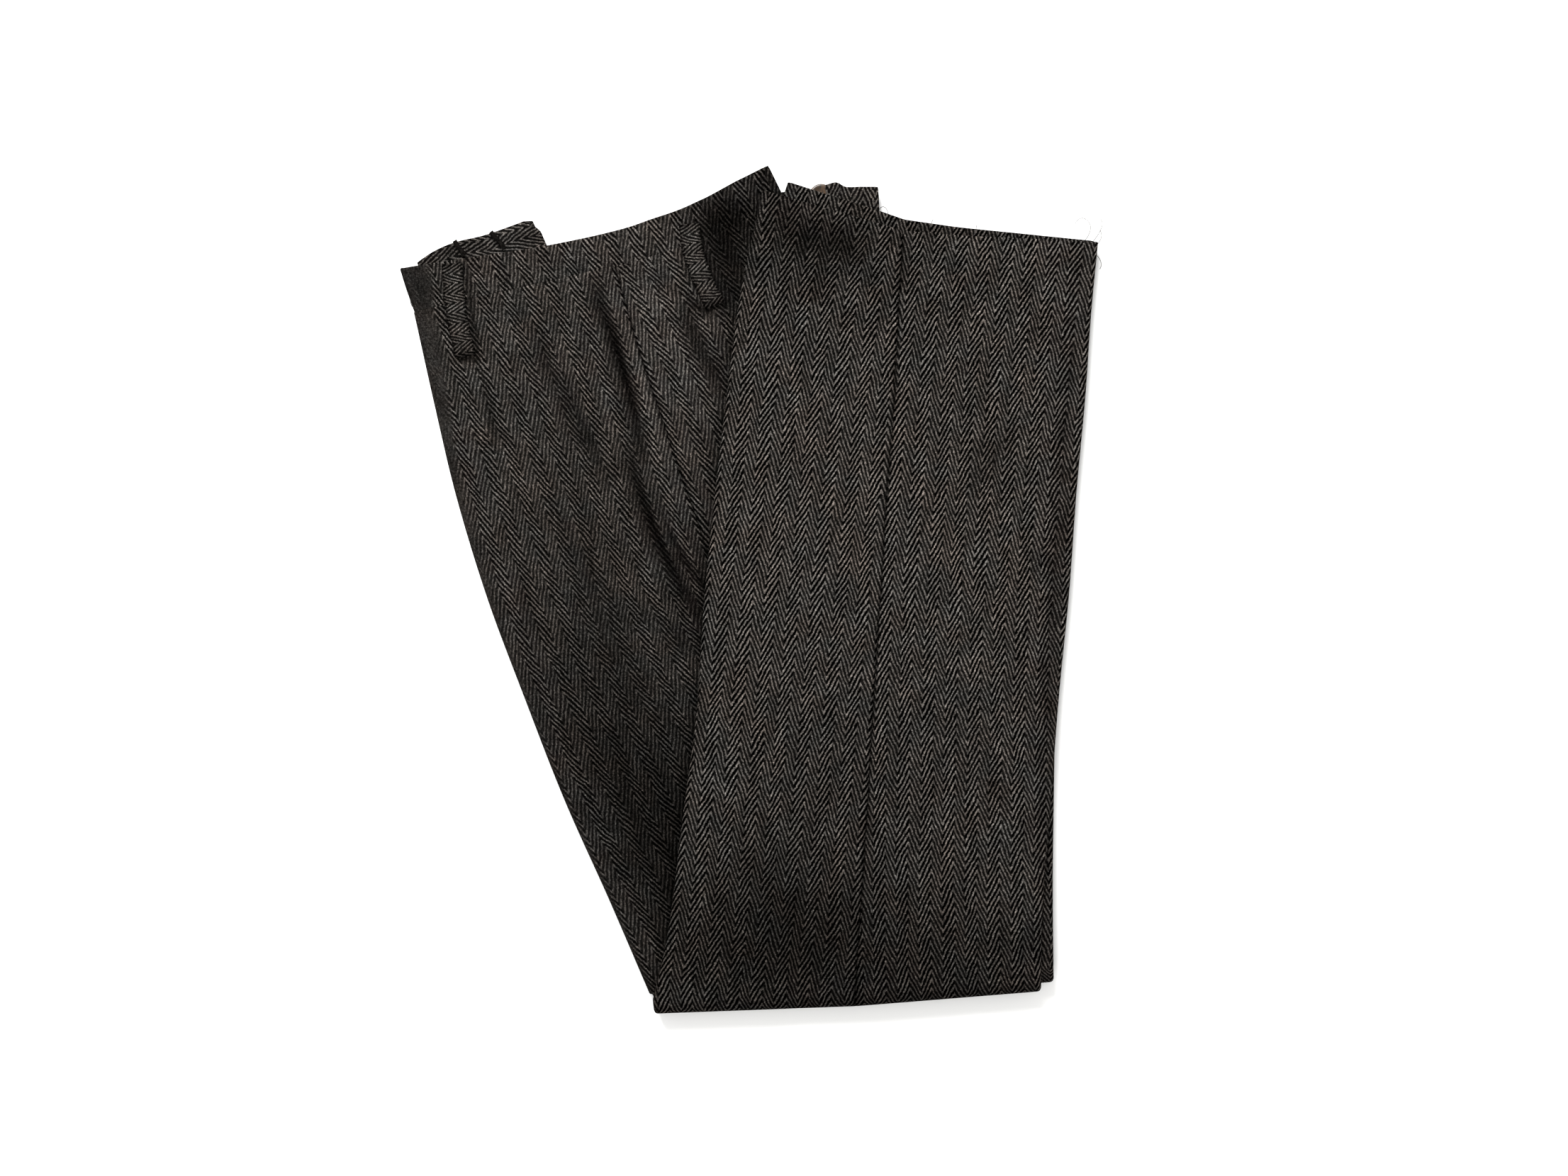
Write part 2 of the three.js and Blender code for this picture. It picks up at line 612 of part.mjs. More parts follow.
// The seat's piece of band: a lower layer, a fold at the centre back and the upper layer that shows
const seatBase = bandThick + 0.8;
const seatTopZ = seatBase + 2 * bandThick + gap;
function seatBand() {
  const top = edgeOf(seatRows, "topX", "topY");
  const seam = edgeOf(seatRows, "seamX", "seamY");
  const outer = [];
  const inner = [];
  const fold = (seatTopZ - seatBase) / 2;
  const middleZ = seatBase + fold;
  const profile = [
    { part: 0, sink: 0.3 },
    { part: 0.1, sink: 0 },
    { part: 0.88, sink: 0 },
    { part: 1, sink: 0.5 },
  ];
  const put = (share, cosine, sine) => {
    const low = seam(share);
    const high = top(share);
    const along = high.clone().sub(low).normalize();
    const sideways = new THREE.Vector3(along.y, -along.x, 0);
    const outerRow = [];
    const innerRow = [];
    for (const { part, sink } of profile) {
      const corner = part === 1 ? 1.5 * sine : 0;
      const point = low.clone().lerp(high, part).addScaledVector(sideways, -corner);
      const reach = fold - sink;
      outerRow.push(point.clone().setZ(middleZ + reach * cosine).addScaledVector(sideways, fold * sine));
      const within = fold - bandThick;
      innerRow.push(point.clone().setZ(middleZ + within * cosine).addScaledVector(sideways, within * sine));
    }
    outer.push(outerRow);
    inner.push(innerRow);
  };
  for (const share of [0.02, 0.25, 0.5, 0.75, 0.96]) put(share, -1, 0);
  for (const degrees of [45, 90, 135]) {
    const angle = THREE.MathUtils.degToRad(degrees);
    put(0.96, -Math.cos(angle), Math.sin(angle));
  }
  for (const share of [0.96, 0.84, 0.7, 0.56, 0.42, 0.28, 0.14, 0.02]) put(share, 1, 0);
  return wall(outer, inner);
}

// The fly's end: an extension with the button sewn to it, and the tab buttoned over the button's front half
const button = { x: 48.5, y: 266.1, base: seatBase + bandThick + gap };
const extensionRows = [
  { topX: 34, topY: 267, seamX: 35, seamY: 247 },
  { topX: 48, topY: 270.5, seamX: 49, seamY: 247 },
  { topX: 68, topY: 270.5, seamX: 69, seamY: 248 },
  { topX: 84, topY: 270, seamX: 85, seamY: 248 },
];
const tabRows = [
  { topX: 52, topY: 273.5, seamX: 55, seamY: 248 },
  { topX: 59, topY: 275, seamX: 60, seamY: 248 },
  { topX: 65, topY: 272.5, seamX: 66, seamY: 249 },
  { topX: 75, topY: 272.5, seamX: 76, seamY: 250 },
  { topX: 86, topY: 272.5, seamX: 87, seamY: 250 },
];
const tabTop = (x) => seatBase + 2 * bandThick + gap + (buttonThick + 0.1) * (1 - smoothstep(x, 57, 66));

function flyButton() {
  const rim = buttonRadius;
  const profile = [
    [0, 0],
    [rim - 1, 0],
    [rim, 0.7],
    [rim, 1.7],
    [rim - 0.7, buttonThick],
    [rim - 2, buttonThick],
    [rim - 3, 1.9],
    [0, 1.9],
  ].map(([x, y]) => new THREE.Vector2(x, y));
  const turned = new THREE.LatheGeometry(profile, 24).rotateX(Math.PI / 2);
  ["normal", "uv"].forEach((name) => turned.deleteAttribute(name));
  return solidOf(mergeVertices(turned.translate(button.x, button.y, button.base), 1e-4));
}

const pieces = [];
function addPiece(name, solid, material) {
  pieces.push({ name, solid, material });
}

const wholeBand = { steps: 26, turned: creaseRadius };
addPiece("left_leg_back", wholeLegPanel("back"), cloth(clothColour));
addPiece("left_leg_front", wholeLegPanel("front"), cloth(clothColour));
addPiece("right_leg_back", thighBackPanel(), cloth(clothColour));
addPiece("right_leg_front", thighFrontPanel(), cloth(clothColour));
addPiece("waistband_right", band(waistRows, thighHeight, up, wholeBand), cloth(bandColour));
addPiece("waistband_left", band(farWaistRows, () => 0, down, wholeBand), cloth(bandColour));
addPiece("waistband_seat", seatBand(), cloth(bandColour));
const extensionBase = () => seatBase + bandThick;
addPiece("fly_extension", band(extensionRows, extensionBase, up, { steps: 6 }), cloth(bandColour));
addPiece("fly_tab", band(tabRows, (x) => tabTop(x), up, { steps: 10 }), cloth(bandColour));
const horn = new THREE.MeshStandardMaterial({ color: buttonColour, roughness: 0.35, metalness: 0 });
addPiece("fly_button", flyButton(), horn);
const backLoop = [{ x: -199, y: 219 }, { x: -196, y: 187 }, { x: -190, y: 158 }];
addPiece("belt_loop_back", beltLoop(backLoop), cloth(loopColour));
const frontLoop = [{ x: -40, y: 246 }, { x: -38, y: 230 }, { x: -33, y: 214 }, { x: -23, y: 192 }];
addPiece("belt_loop_front", beltLoop(frontLoop), cloth(loopColour));
const outerLoop = { fromX: -197.6, fromY: 235.4, toX: -191.3, toY: 225.7 };
const innerLoop = { fromX: -173.2, fromY: 241.4, toX: -164.1, toY: 230.4 };
addPiece("seat_loop_outer", edgeLoop(outerLoop, seatTopZ + gap), cloth(loopColour));
addPiece("seat_loop_inner", edgeLoop(innerLoop, seatTopZ + gap), cloth(loopColour));

const cutters = [
  wholeLegPanel("back", coreGap),
  wholeLegPanel("front", coreGap),
  thighBackPanel(coreGap),
  thighFrontPanel(coreGap),
  band(waistRows, thighHeight, up, { ...wholeBand, spread: coreGap }),
  band(tabRows, (x) => tabTop(x), up, { steps: 10, spread: coreGap }),
];
addPiece("hidden_layers", hiddenLayers(cutters), cloth(clothColour));

const trousers = new THREE.Group();
trousers.name = "folded_trousers";
for (const { name, solid, material } of pieces) {
  const mesh = new THREE.Mesh(geometryFrom(solid), material);
  mesh.name = name;
  trousers.add(mesh);
}

export default trousers;
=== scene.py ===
# Herringbone suit trousers, folded and lying flat, seen from straight above
import math

import bmesh
import bpy
import numpy as np
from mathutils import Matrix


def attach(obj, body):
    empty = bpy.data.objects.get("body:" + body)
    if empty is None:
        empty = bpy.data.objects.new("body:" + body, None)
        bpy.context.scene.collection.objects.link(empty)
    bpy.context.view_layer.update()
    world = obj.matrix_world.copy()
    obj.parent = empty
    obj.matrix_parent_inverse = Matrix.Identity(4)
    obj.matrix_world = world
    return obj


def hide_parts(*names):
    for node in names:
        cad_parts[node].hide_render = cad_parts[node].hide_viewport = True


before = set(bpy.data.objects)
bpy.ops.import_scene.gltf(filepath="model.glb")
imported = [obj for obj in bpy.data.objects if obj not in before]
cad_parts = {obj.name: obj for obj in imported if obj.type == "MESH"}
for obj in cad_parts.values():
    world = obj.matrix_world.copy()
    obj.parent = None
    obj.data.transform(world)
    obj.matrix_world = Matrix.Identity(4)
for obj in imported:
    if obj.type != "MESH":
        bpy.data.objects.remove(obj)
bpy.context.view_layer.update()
scene = bpy.context.scene
mm = 0.001  # everything below is worked out in millimetres

# The fold, as the frame has it
fold = {
    "legThick": 5.0,  # one leg pressed flat
    "gap": 0.3,  # between pieces that meet
    "pileLift": 0.4,  # the folded-up legs above the thighs
    "clothThick": 1.3,
    "creaseRadius": 2.5,
    "kneeReach": 11.0,  # how far the knee bulges past its straight part
    "tuckUnder": 16.0,  # how far the hip's cloth runs in under the folded-up legs
    "thighEnd": 0.995,  # where the hip's panels end, as shares of the thigh
    "hipFrontEnd": 0.47,
    "dropWidth": 62.0,  # the folded-up legs come down past the thighs over this width
    "hipEdge": (2.0, 22.0),  # the folds rise over this distance from a crease
    "legEdge": (1.0, 14.0),
}
thighTop = 2 * fold["legThick"] + 2 * fold["gap"]  # also the legs' top where no thigh is under them
shinTop = thighTop + fold["pileLift"] + 2 * fold["legThick"] + fold["gap"]
kneeOut = np.array([0.058, -0.998, 0.0])
up = np.array([0.0, 0.0, 1.0])

# Sections of the thighs from waist seam to knee: back crease, side seam, front crease
thighRows = [
    {"back": (-225, 187), "seam": (-90, 218), "front": (87, 243)},
    {"back": (-211, 124), "seam": (-73, 160), "front": (100, 171)},
    {"back": (-197, 65), "seam": (-50, 92), "front": (115, 98)},
    {"back": (-176, -4), "seam": (-26, 22), "front": (131, 24)},
    {"back": (-151, -71), "seam": (-2, -49), "front": (148, -50)},
    {"back": (-124, -140), "seam": (22, -121), "front": (165, -122)},
    {"back": (-94, -207), "seam": (46, -194), "front": (180, -193)},
    {"back": (-66, -272), "seam": (70, -267), "front": (195, -257)},
]

# Sections of the folded-up legs from knee to hem, the leg on top
shinRows = [
    {"back": (-64, -272), "seam": (71, -267), "front": (195, -257)},
    {"back": (-54, -227), "seam": (74, -220), "front": (196, -211)},
    {"back": (-44, -149), "seam": (79, -146), "front": (202, -143)},
    {"back": (-35, -81), "seam": (83, -74), "front": (208, -72)},
    {"back": (-30, -7), "seam": (88, -1), "front": (215, -2)},
    {"back": (-23, 62), "seam": (92, 64), "front": (220, 66)},
    {"back": (-15, 130), "seam": (97, 129), "front": (226, 131)},
    {"back": (-6, 197), "seam": (100, 190), "front": (230, 188)},
    {"back": (9, 267), "seam": (103, 240), "front": (234.5, 234)},
]

# The leg inside the fold, which shows past the first one's hem and front crease
innerShinRows = [
    {"back": (-59, -262), "seam": (72, -258), "front": (204, -252)},
    {"back": (-50, -222), "seam": (75, -216), "front": (204, -208)},
    {"back": (-40, -149), "seam": (79, -146), "front": (205, -143)},
    {"back": (-31, -78), "seam": (83, -74), "front": (207, -72)},
    {"back": (-26, -7), "seam": (88, -1), "front": (212, -2)},
    {"back": (-19, 62), "seam": (92, 64), "front": (218, 66)},
    {"back": (-10, 130), "seam": (97, 129), "front": (224, 131)},
    {"back": (4, 205), "seam": (100, 194), "front": (229, 188)},
    {"back": (26, 274), "seam": (104, 249), "front": (232.5, 236)},
]

# Places along the waist: the band's folded edge and its seam
waistRows = [
    {"top": (-235, 217), "seam": (-225, 187.5)},
    {"top": (-204, 222), "seam": (-197, 194)},
    {"top": (-170, 227), "seam": (-163, 202)},
    {"top": (-133, 233), "seam": (-128, 210)},
    {"top": (-84, 244), "seam": (-80, 220)},
    {"top": (-65, 250.5), "seam": (-57, 227)},
    {"top": (-46, 257), "seam": (-35, 234.5)},
    {"top": (-27, 266), "seam": (-14, 244)},
    {"top": (-8, 276), "seam": (5, 252.5)},
    {"top": (12, 286), "seam": (24, 261)},
]
farWaistRows = waistRows[:5] + [
    {"top": (-46, 253), "seam": (-43, 224.6)},
    {"top": (-15, 259), "seam": (-14, 228.7)},
    {"top": (24, 270), "seam": (27, 236.7)},
    {"top": (56, 271), "seam": (58, 239.5)},
    {"top": (85.5, 272), "seam": (87, 243)},
]
seatRows = [
    {"top": (-224, 221), "seam": (-213, 198)},
    {"top": (-212, 229), "seam": (-201, 203)},
    {"top": (-198, 235), "seam": (-187, 208)},
    {"top": (-179, 239.5), "seam": (-167, 212)},
    {"top": (-160, 246), "seam": (-148, 218)},
    {"top": (-143, 252.5), "seam": (-131, 224)},
]

# Troughs (height below zero) and ridges: path, width to its left and right, height,
# and how far painted shade darkens it; a negative value paints a highlight on it
hipFolds = [
    {
        "path": [(-146, 176), (-138, 160), (-125, 135), (-115, 114), (-99, 87), (-90, 66)],
        "widths": (9, 7), "height": -2.4, "shade": 0.52,
    },
    {
        "path": [(-103, 215), (-95, 182), (-88, 162), (-79, 132), (-73, 104), (-68, 84)],
        "widths": (6, 4), "height": -3.6, "shade": 0.94,
    },
    {
        "path": [(-82, 104), (-74, 74), (-68, 53), (-57, 27), (-45, 2), (-34, -12), (-26, -20)],
        "widths": (6, 3.4), "height": -4, "shade": 0.92,
    },
    {
        "path": [(-62, 62), (-57, 49), (-50, 33), (-39, 15), (-28, 1), (-22, -8)],
        "widths": (2.8, 2.6), "height": -1.8, "shade": 0.8,
    },
    {
        "path": [(-86, 200), (-79, 165), (-70, 135), (-62, 108), (-54, 80), (-44, 55), (-36, 36)],
        "widths": (5, 5), "height": 2, "shade": -0.3,
    },
    {
        "path": [(-46, 194), (-41, 180), (-32, 162), (-23, 146), (-13, 132)],
        "widths": (9, 6), "height": -3.4, "shade": 0.66,
    },
    {
        "path": [(-58, 200), (-48, 170), (-38, 148), (-28, 128), (-18, 110)],
        "widths": (8, 7), "height": 1.3, "shade": -0.25,
    },
    {
        "path": [(-30, 270), (-24, 240), (-20, 212), (-14, 188)],
        "widths": (6, 17), "height": -4, "shade": 0.55,
    },
    {
        "path": [
            (-134, 66), (-127, 51), (-115, 33), (-107, 6), (-98, -22), (-84, -50), (-70, -76), (-62, -92),
        ],
        "widths": (14, 12), "height": -2.3, "shade": 0.3,
    },
    {"path": [(-74, -8), (-58, -26), (-42, -38), (-30, -46)], "widths": (6, 6), "height": -2, "shade": 0.3},
    {
        "path": [(-184, 158), (-179, 146), (-176, 132), (-173, 117), (-170, 98), (-166, 86)],
        "widths": (1.7, 1.5), "height": -1.4, "shade": 0.6,
    },
    {
        "path": [(-190, 140), (-168, 60), (-146, -10), (-120, -70)],
        "widths": (24, 24), "height": 1.8, "shade": 0,
    },
    {
        "path": [(-124, 156), (-110, 122), (-96, 96), (-86, 40)],
        "widths": (8, 8), "height": 1.3, "shade": -0.12,
    },
    {"path": [(-112, 30), (-98, 0), (-86, -40)], "widths": (5, 5), "height": -0.9, "shade": 0.1},
    {"path": [(-156, 30), (-140, -30), (-118, -76)], "widths": (9, 9), "height": -0.8, "shade": 0.08},
    {"path": [(-98, -90), (-82, -140), (-68, -200)], "widths": (12, 12), "height": -1.1, "shade": 0.15},
    {"path": [(-66, 226), (-60, 200), (-50, 178)], "widths": (4, 4), "height": -0.9, "shade": 0.15},
    {"path": [(-160, 214), (-152, 190), (-146, 176)], "widths": (6, 6), "height": -0.7, "shade": 0.12},
    {
        "path": [(-34, 252), (-31.5, 228), (-26, 212), (-15, 190)],
        "widths": (2, 2.6), "height": -0.5, "shade": 0.8,
    },
    {"path": [(-189.6, 226), (-186.4, 192), (-181.4, 154)], "widths": (2, 2), "height": -0.4, "shade": 0.75},
    {"path": [(-200, 154), (-191, 156), (-181, 155)], "widths": (1.8, 1.8), "height": -0.3, "shade": 0.65},
    {"path": [(-42, 200), (-32, 188), (-14, 189)], "widths": (2.6, 2.6), "height": -0.4, "shade": 0.8},
]
legFolds = [
    {"path": [(10, 242), (40, 234), (86, 224)], "widths": (11, 14), "height": -2.5, "shade": 0.5},
    {
        "path": [(224, 240), (218, 190), (210, 90), (203, 0), (197, -110), (194, -200)],
        "widths": (4, 5), "height": -1.3, "shade": 0.3,
    },
    {"path": [(136, 60), (160, 86), (184, 114)], "widths": (8, 8), "height": -1.2, "shade": 0.28},
    {"path": [(4, -150), (24, -210), (66, -268)], "widths": (26, 26), "height": -1.8, "shade": 0.2},
    {"path": [(10, 190), (24, 40), (26, -120)], "widths": (28, 28), "height": 1.2, "shade": 0},
    {"path": [(120, 200), (142, 110), (150, 30)], "widths": (18, 18), "height": 0.7, "shade": 0},
    {"path": [(30, 120), (52, 70), (66, 20)], "widths": (12, 12), "height": -0.7, "shade": 0.06},
    {"path": [(130, -40), (144, -100), (168, -160)], "widths": (16, 16), "height": -0.7, "shade": 0.1},
]
underFolds = [
    {
        "path": [(-156, 150), (-132, 104), (-100, 60), (-72, 18)],
        "widths": (8, 6), "height": 0.9, "shade": 0.3,
    },
    {"path": [(-98, 186), (-80, 146), (-62, 98)], "widths": (5, 4), "height": 0.7, "shade": 0.35},
    {"path": [(22, 176), (2, 120), (-24, 66), (-42, 14)], "widths": (7, 9), "height": 0.8, "shade": 0.25},
    {"path": [(-122, -10), (-92, -64), (-62, -132)], "widths": (12, 10), "height": 0.7, "shade": 0.2},
    {"path": [(40, 60), (52, -20), (48, -104), (62, -180)], "widths": (14, 10), "height": 0.6, "shade": 0.15},
    {"path": [(-34, -110), (8, -180), (56, -228)], "widths": (16, 12), "height": 0.8, "shade": 0.2},
    {"path": [(92, 30), (102, -60), (128, -140)], "widths": (6, 8), "height": 0.6, "shade": 0.2},
]
seamTrough = {"depth": 1.1, "halfWidth": 1.4, "shade": 0.75, "shadeHalfWidth": 1.1}


# Plan curves and heights
def smoothCurve(points):
    # centripetal Catmull-Rom through the points, asked by share of its rows
    inner = np.array(points, float)
    row = np.vstack([2 * inner[0] - inner[1], inner, 2 * inner[-1] - inner[-2]])
    last = len(inner) - 1

    def at(share):
        place = np.clip(np.asarray(share, float), 0, 1) * last
        k = np.minimum(place.astype(int), last - 1)
        w = (place - k)[..., None]
        p0, p1, p2, p3 = (row[k + n] for n in range(4))
        steps = (p1 - p0, p2 - p1, p3 - p2)
        d0, d1, d2 = (np.sqrt(np.linalg.norm(step, axis=-1))[..., None] for step in steps)
        t1 = ((p1 - p0) / d0 - (p2 - p0) / (d0 + d1) + (p2 - p1) / d1) * d1
        t2 = ((p2 - p1) / d1 - (p3 - p1) / (d1 + d2) + (p3 - p2) / d2) * d1
        return p1 + t1 * w + (3 * (p2 - p1) - 2 * t1 - t2) * w**2 + (2 * (p1 - p2) + t1 + t2) * w**3

    return at


def columnCurve(rows, name):
    return smoothCurve([row[name] for row in rows])


thigh = {name: columnCurve(thighRows, name) for name in ("back", "seam", "front")}
shin = {name: columnCurve(shinRows, name) for name in ("back", "seam", "front")}
innerShin = {name: columnCurve(innerShinRows, name) for name in ("back", "seam", "front")}
waistSeam = columnCurve(waistRows, "seam")


def tableOf(curve, key, value):
    # the curve's one coordinate by its other one
    points = curve(np.linspace(0, 1, 600))
    order = np.argsort(points[:, key])
    keys, values = points[order, key], points[order, value]
    return lambda asked: np.interp(asked, keys, values)


thighBackX = tableOf(thigh["back"], 1, 0)
thighFrontX = tableOf(thigh["front"], 1, 0)
shinBackX = tableOf(shin["back"], 1, 0)
shinFrontX = tableOf(shin["front"], 1, 0)
waistSeamY = tableOf(waistSeam, 0, 1)


def smoothstep(x, low, high):
    t = np.clip((x - low) / (high - low), 0, 1)
    return t * t * (3 - 2 * t)


def alongFold(crease, x, y):
    # 1 on the fold's line, falling off to both sides and towards its ends
    path = np.array(crease["path"], float)
    pieces = np.diff(path, axis=0)
    lengths = np.linalg.norm(pieces, axis=1)
    before = np.concatenate([[0], np.cumsum(lengths)])
    nearest = np.full(x.shape, 1e9)
    aside, share = np.zeros(x.shape), np.zeros(x.shape)
    for (startX, startY), (dx, dy), length, passed in zip(path, pieces, lengths, before):
        t = np.clip(((x - startX) * dx + (y - startY) * dy) / length**2, 0, 1)
        offX, offY = x - startX - t * dx, y - startY - t * dy
        distance = np.hypot(offX, offY)
        closer = distance < nearest
        nearest = np.where(closer, distance, nearest)
        aside = np.where(closer, np.sign(dx * offY - dy * offX) * distance, aside)
        share = np.where(closer, (passed + t * length) / before[-1], share)
    left, right = crease["widths"]
    off = aside / np.where(aside > 0, right, left)
    return np.exp(-off * off) * np.sqrt(np.sin(np.pi * np.clip(share, 0, 1)).clip(0))


def foldHeights(folds, x, y):
    return sum(crease["height"] * alongFold(crease, x, y) for crease in folds)


def foldShade(folds, x, y):
    lit = np.ones(x.shape)
    for crease in folds:
        if crease["shade"]:
            lit = lit * (1 - crease["shade"] * alongFold(crease, x, y))
    return lit


settling = {
    "height": 0.22,
    "waves": [(0.071, 0.043, 0.4), (-0.052, 0.088, 2.1), (0.118, 0.021, 4.0), (0.03, -0.13, 1.3)],
    "bend": 1.7,  # how far one wave bends the next
}


def settle(x, y):
    # pressed cloth never lies quite flat
    bend = settling["bend"]
    total = sum(np.sin(a * x + b * y + c + bend * np.sin(b * x - a * y)) for a, b, c in settling["waves"])
    return settling["height"] * total / 2


def thighHeight(x, y):
    fromCrease = x - thighBackX(y)
    return thighTop + (foldHeights(hipFolds, x, y) + settle(x, y)) * smoothstep(fromCrease, *fold["hipEdge"])


def pastThigh(x, y):
    return x - thighFrontX(y)


def shinHeight(x, y):
    drop = (shinTop - thighTop) * smoothstep(pastThigh(x, y), 0, fold["dropWidth"])
    fromEdges = np.minimum(x - shinBackX(y), shinFrontX(y) - x)
    relief = (foldHeights(legFolds, x, y) + settle(x, y)) * smoothstep(fromEdges, *fold["legEdge"])
    return shinTop - drop + relief


def flat(x, y):
    return np.zeros_like(x)


def underside(x, y):
    # the floor's side, with shallow creases standing off the floor
    return foldHeights(underFolds, x, y)


def pileEdge(y):
    return shinBackX(y) + fold["tuckUnder"]


# Painted light and shade: soft patches over the cloth's colour, darker in the hollows and where less light
# falls, lighter where more falls
hipLightAndShade = [
    {"centre": (-14, 249), "size": (22, 28), "turn": -20, "tone": -0.82},
    {"centre": (-12, 206), "size": (9, 30), "turn": 4, "tone": -0.45},
    {"centre": (-26, -20), "size": (22, 60), "turn": 28, "tone": -0.35},
    {"centre": (-48, -170), "size": (62, 120), "turn": 26, "tone": -0.72},
    {"centre": (-110, -70), "size": (40, 80), "turn": 25, "tone": -0.26},
    {"centre": (-100, 60), "size": (26, 60), "turn": 25, "tone": -0.14},
    {"centre": (-60, 170), "size": (26, 56), "turn": 15, "tone": 0.25},
    {"centre": (-225, 205), "size": (14, 22), "turn": 0, "tone": -0.35},
]
legLightAndShade = [
    {"centre": (10, -236), "size": (100, 64), "turn": 12, "tone": -0.6},
    {"centre": (140, -262), "size": (110, 50), "turn": 0, "tone": -0.48},
    {"centre": (60, -120), "size": (60, 50), "turn": 0, "tone": -0.16},
    {"centre": (38, 236), "size": (70, 44), "turn": -15, "tone": -0.5},
    {"centre": (206, -40), "size": (7, 130), "turn": -4, "tone": -0.25},
    {"centre": (60, 60), "size": (50, 90), "turn": 0, "tone": 0.08},
    {"centre": (150, 20), "size": (50, 100), "turn": 0, "tone": 0.1},
]


def lightAndShadeOf(patches, x, y):
    tone = np.ones_like(x)
    for patch in patches:
        turn = math.radians(patch["turn"])
        dx, dy = x - patch["centre"][0], y - patch["centre"][1]
        across = (dx * math.cos(turn) + dy * math.sin(turn)) / patch["size"][0]
        along = (dy * math.cos(turn) - dx * math.sin(turn)) / patch["size"][1]
        tone *= 1 + patch["tone"] * np.exp(-(across**2) - along**2)
    return tone


# Painted shade on the hip: a dark strip along the back crease, where the cloth turns away, and a shadow
# beside the folded-up legs
hipPaintedShading = {
    "stripUp": (-272, -60, 60, 81, 125, 159, 187, 204, 217),
    "stripWidth": (2.5, 3, 4.5, 6, 10, 13, 14, 18.6, 21),  # of the strip of painted shade along the back crease, where the cloth turns away
    "stripSoft": 2.5,
    "stripPlain": 0.9,  # how far the weave is lost there
    "stripShade": 0.22,
    "shadePlain": 0.6,  # and in the deepest shade of a fold
    "contactShadow": 0.6,  # painted shadow close to the folded-up legs
    "contactReach": 6.0,
}


def hipTone(x, y):
    # first the painted light and shade on the cloth, then how far its weave is lost in shade and wear
    folds = foldShade(hipFolds, x, y)
    width, soft = np.interp(y, hipPaintedShading["stripUp"], hipPaintedShading["stripWidth"]), hipPaintedShading["stripSoft"]
    waist = thighRows[0]["back"][1]
    edge = thighBackX(np.minimum(y, waist)) - (y - waist).clip(0) / 3
    strip = 1 - smoothstep(x - edge, width - soft, width + soft)
    plain = 1 - (1 - hipPaintedShading["stripPlain"] * strip) * (1 - hipPaintedShading["shadePlain"] * (1 - folds.clip(0, 1)))
    contact = 1 - hipPaintedShading["contactShadow"] * np.exp(-(shinBackX(y) - x).clip(0) / hipPaintedShading["contactReach"])
    light = lightAndShadeOf(hipLightAndShade, x, y) * folds * contact * (1 - hipPaintedShading["stripShade"] * strip)
    return np.stack([light, plain], -1)


# Painted shade on the folded-up legs, darker along their back edge where the cloth rounds over
legPaintedShading = {"edgeShade": 0.45, "edgeReach": 2.6, "shadePlain": 0.4}


def legTone(x, y):
    folds = foldShade(legFolds, x, y)
    edge = 1 - legPaintedShading["edgeShade"] * np.exp(-(x - shinBackX(y)).clip(0) / legPaintedShading["edgeReach"])
    return np.stack([lightAndShadeOf(legLightAndShade, x, y) * folds * edge, legPaintedShading["shadePlain"] * (1 - folds).clip(0)], -1)


# Painted shade in the underside's creases
def underTone(x, y):
    return np.stack([foldShade(underFolds, x, y), np.zeros(x.shape)], -1)


def evenTone(x, y):
    return np.stack([np.ones(x.shape), np.zeros(x.shape)], -1)


# Meshes
def makeObject(name, points, faces, weave, tone, material):
    mesh = bpy.data.meshes.new(name)
    mesh.from_pydata((np.asarray(points) * mm).tolist(), [], faces)
    corners = np.empty(len(mesh.loops), dtype=int)
    mesh.loops.foreach_get("vertex_index", corners)
    layer = mesh.uv_layers.new(name="weave")
    layer.data.foreach_set("uv", (np.asarray(weave)[corners] * mm).ravel())
    for k, attribute in enumerate(("tone", "plain")):
        layer = mesh.attributes.new(attribute, "FLOAT", "POINT")
        layer.data.foreach_set("value", np.asarray(tone[:, k], dtype=np.float32))
    mesh.shade_smooth()
    mesh.materials.append(material)
    made = bpy.data.objects.new(name, mesh)
    scene.collection.objects.link(made)
    return made


def gridNormals(grid):
    alongRows = np.gradient(grid, axis=0)
    alongColumns = np.gradient(grid, axis=1)
    normal = np.cross(alongRows, alongColumns)
    return normal / np.maximum(np.linalg.norm(normal, axis=2, keepdims=True), 1e-9)


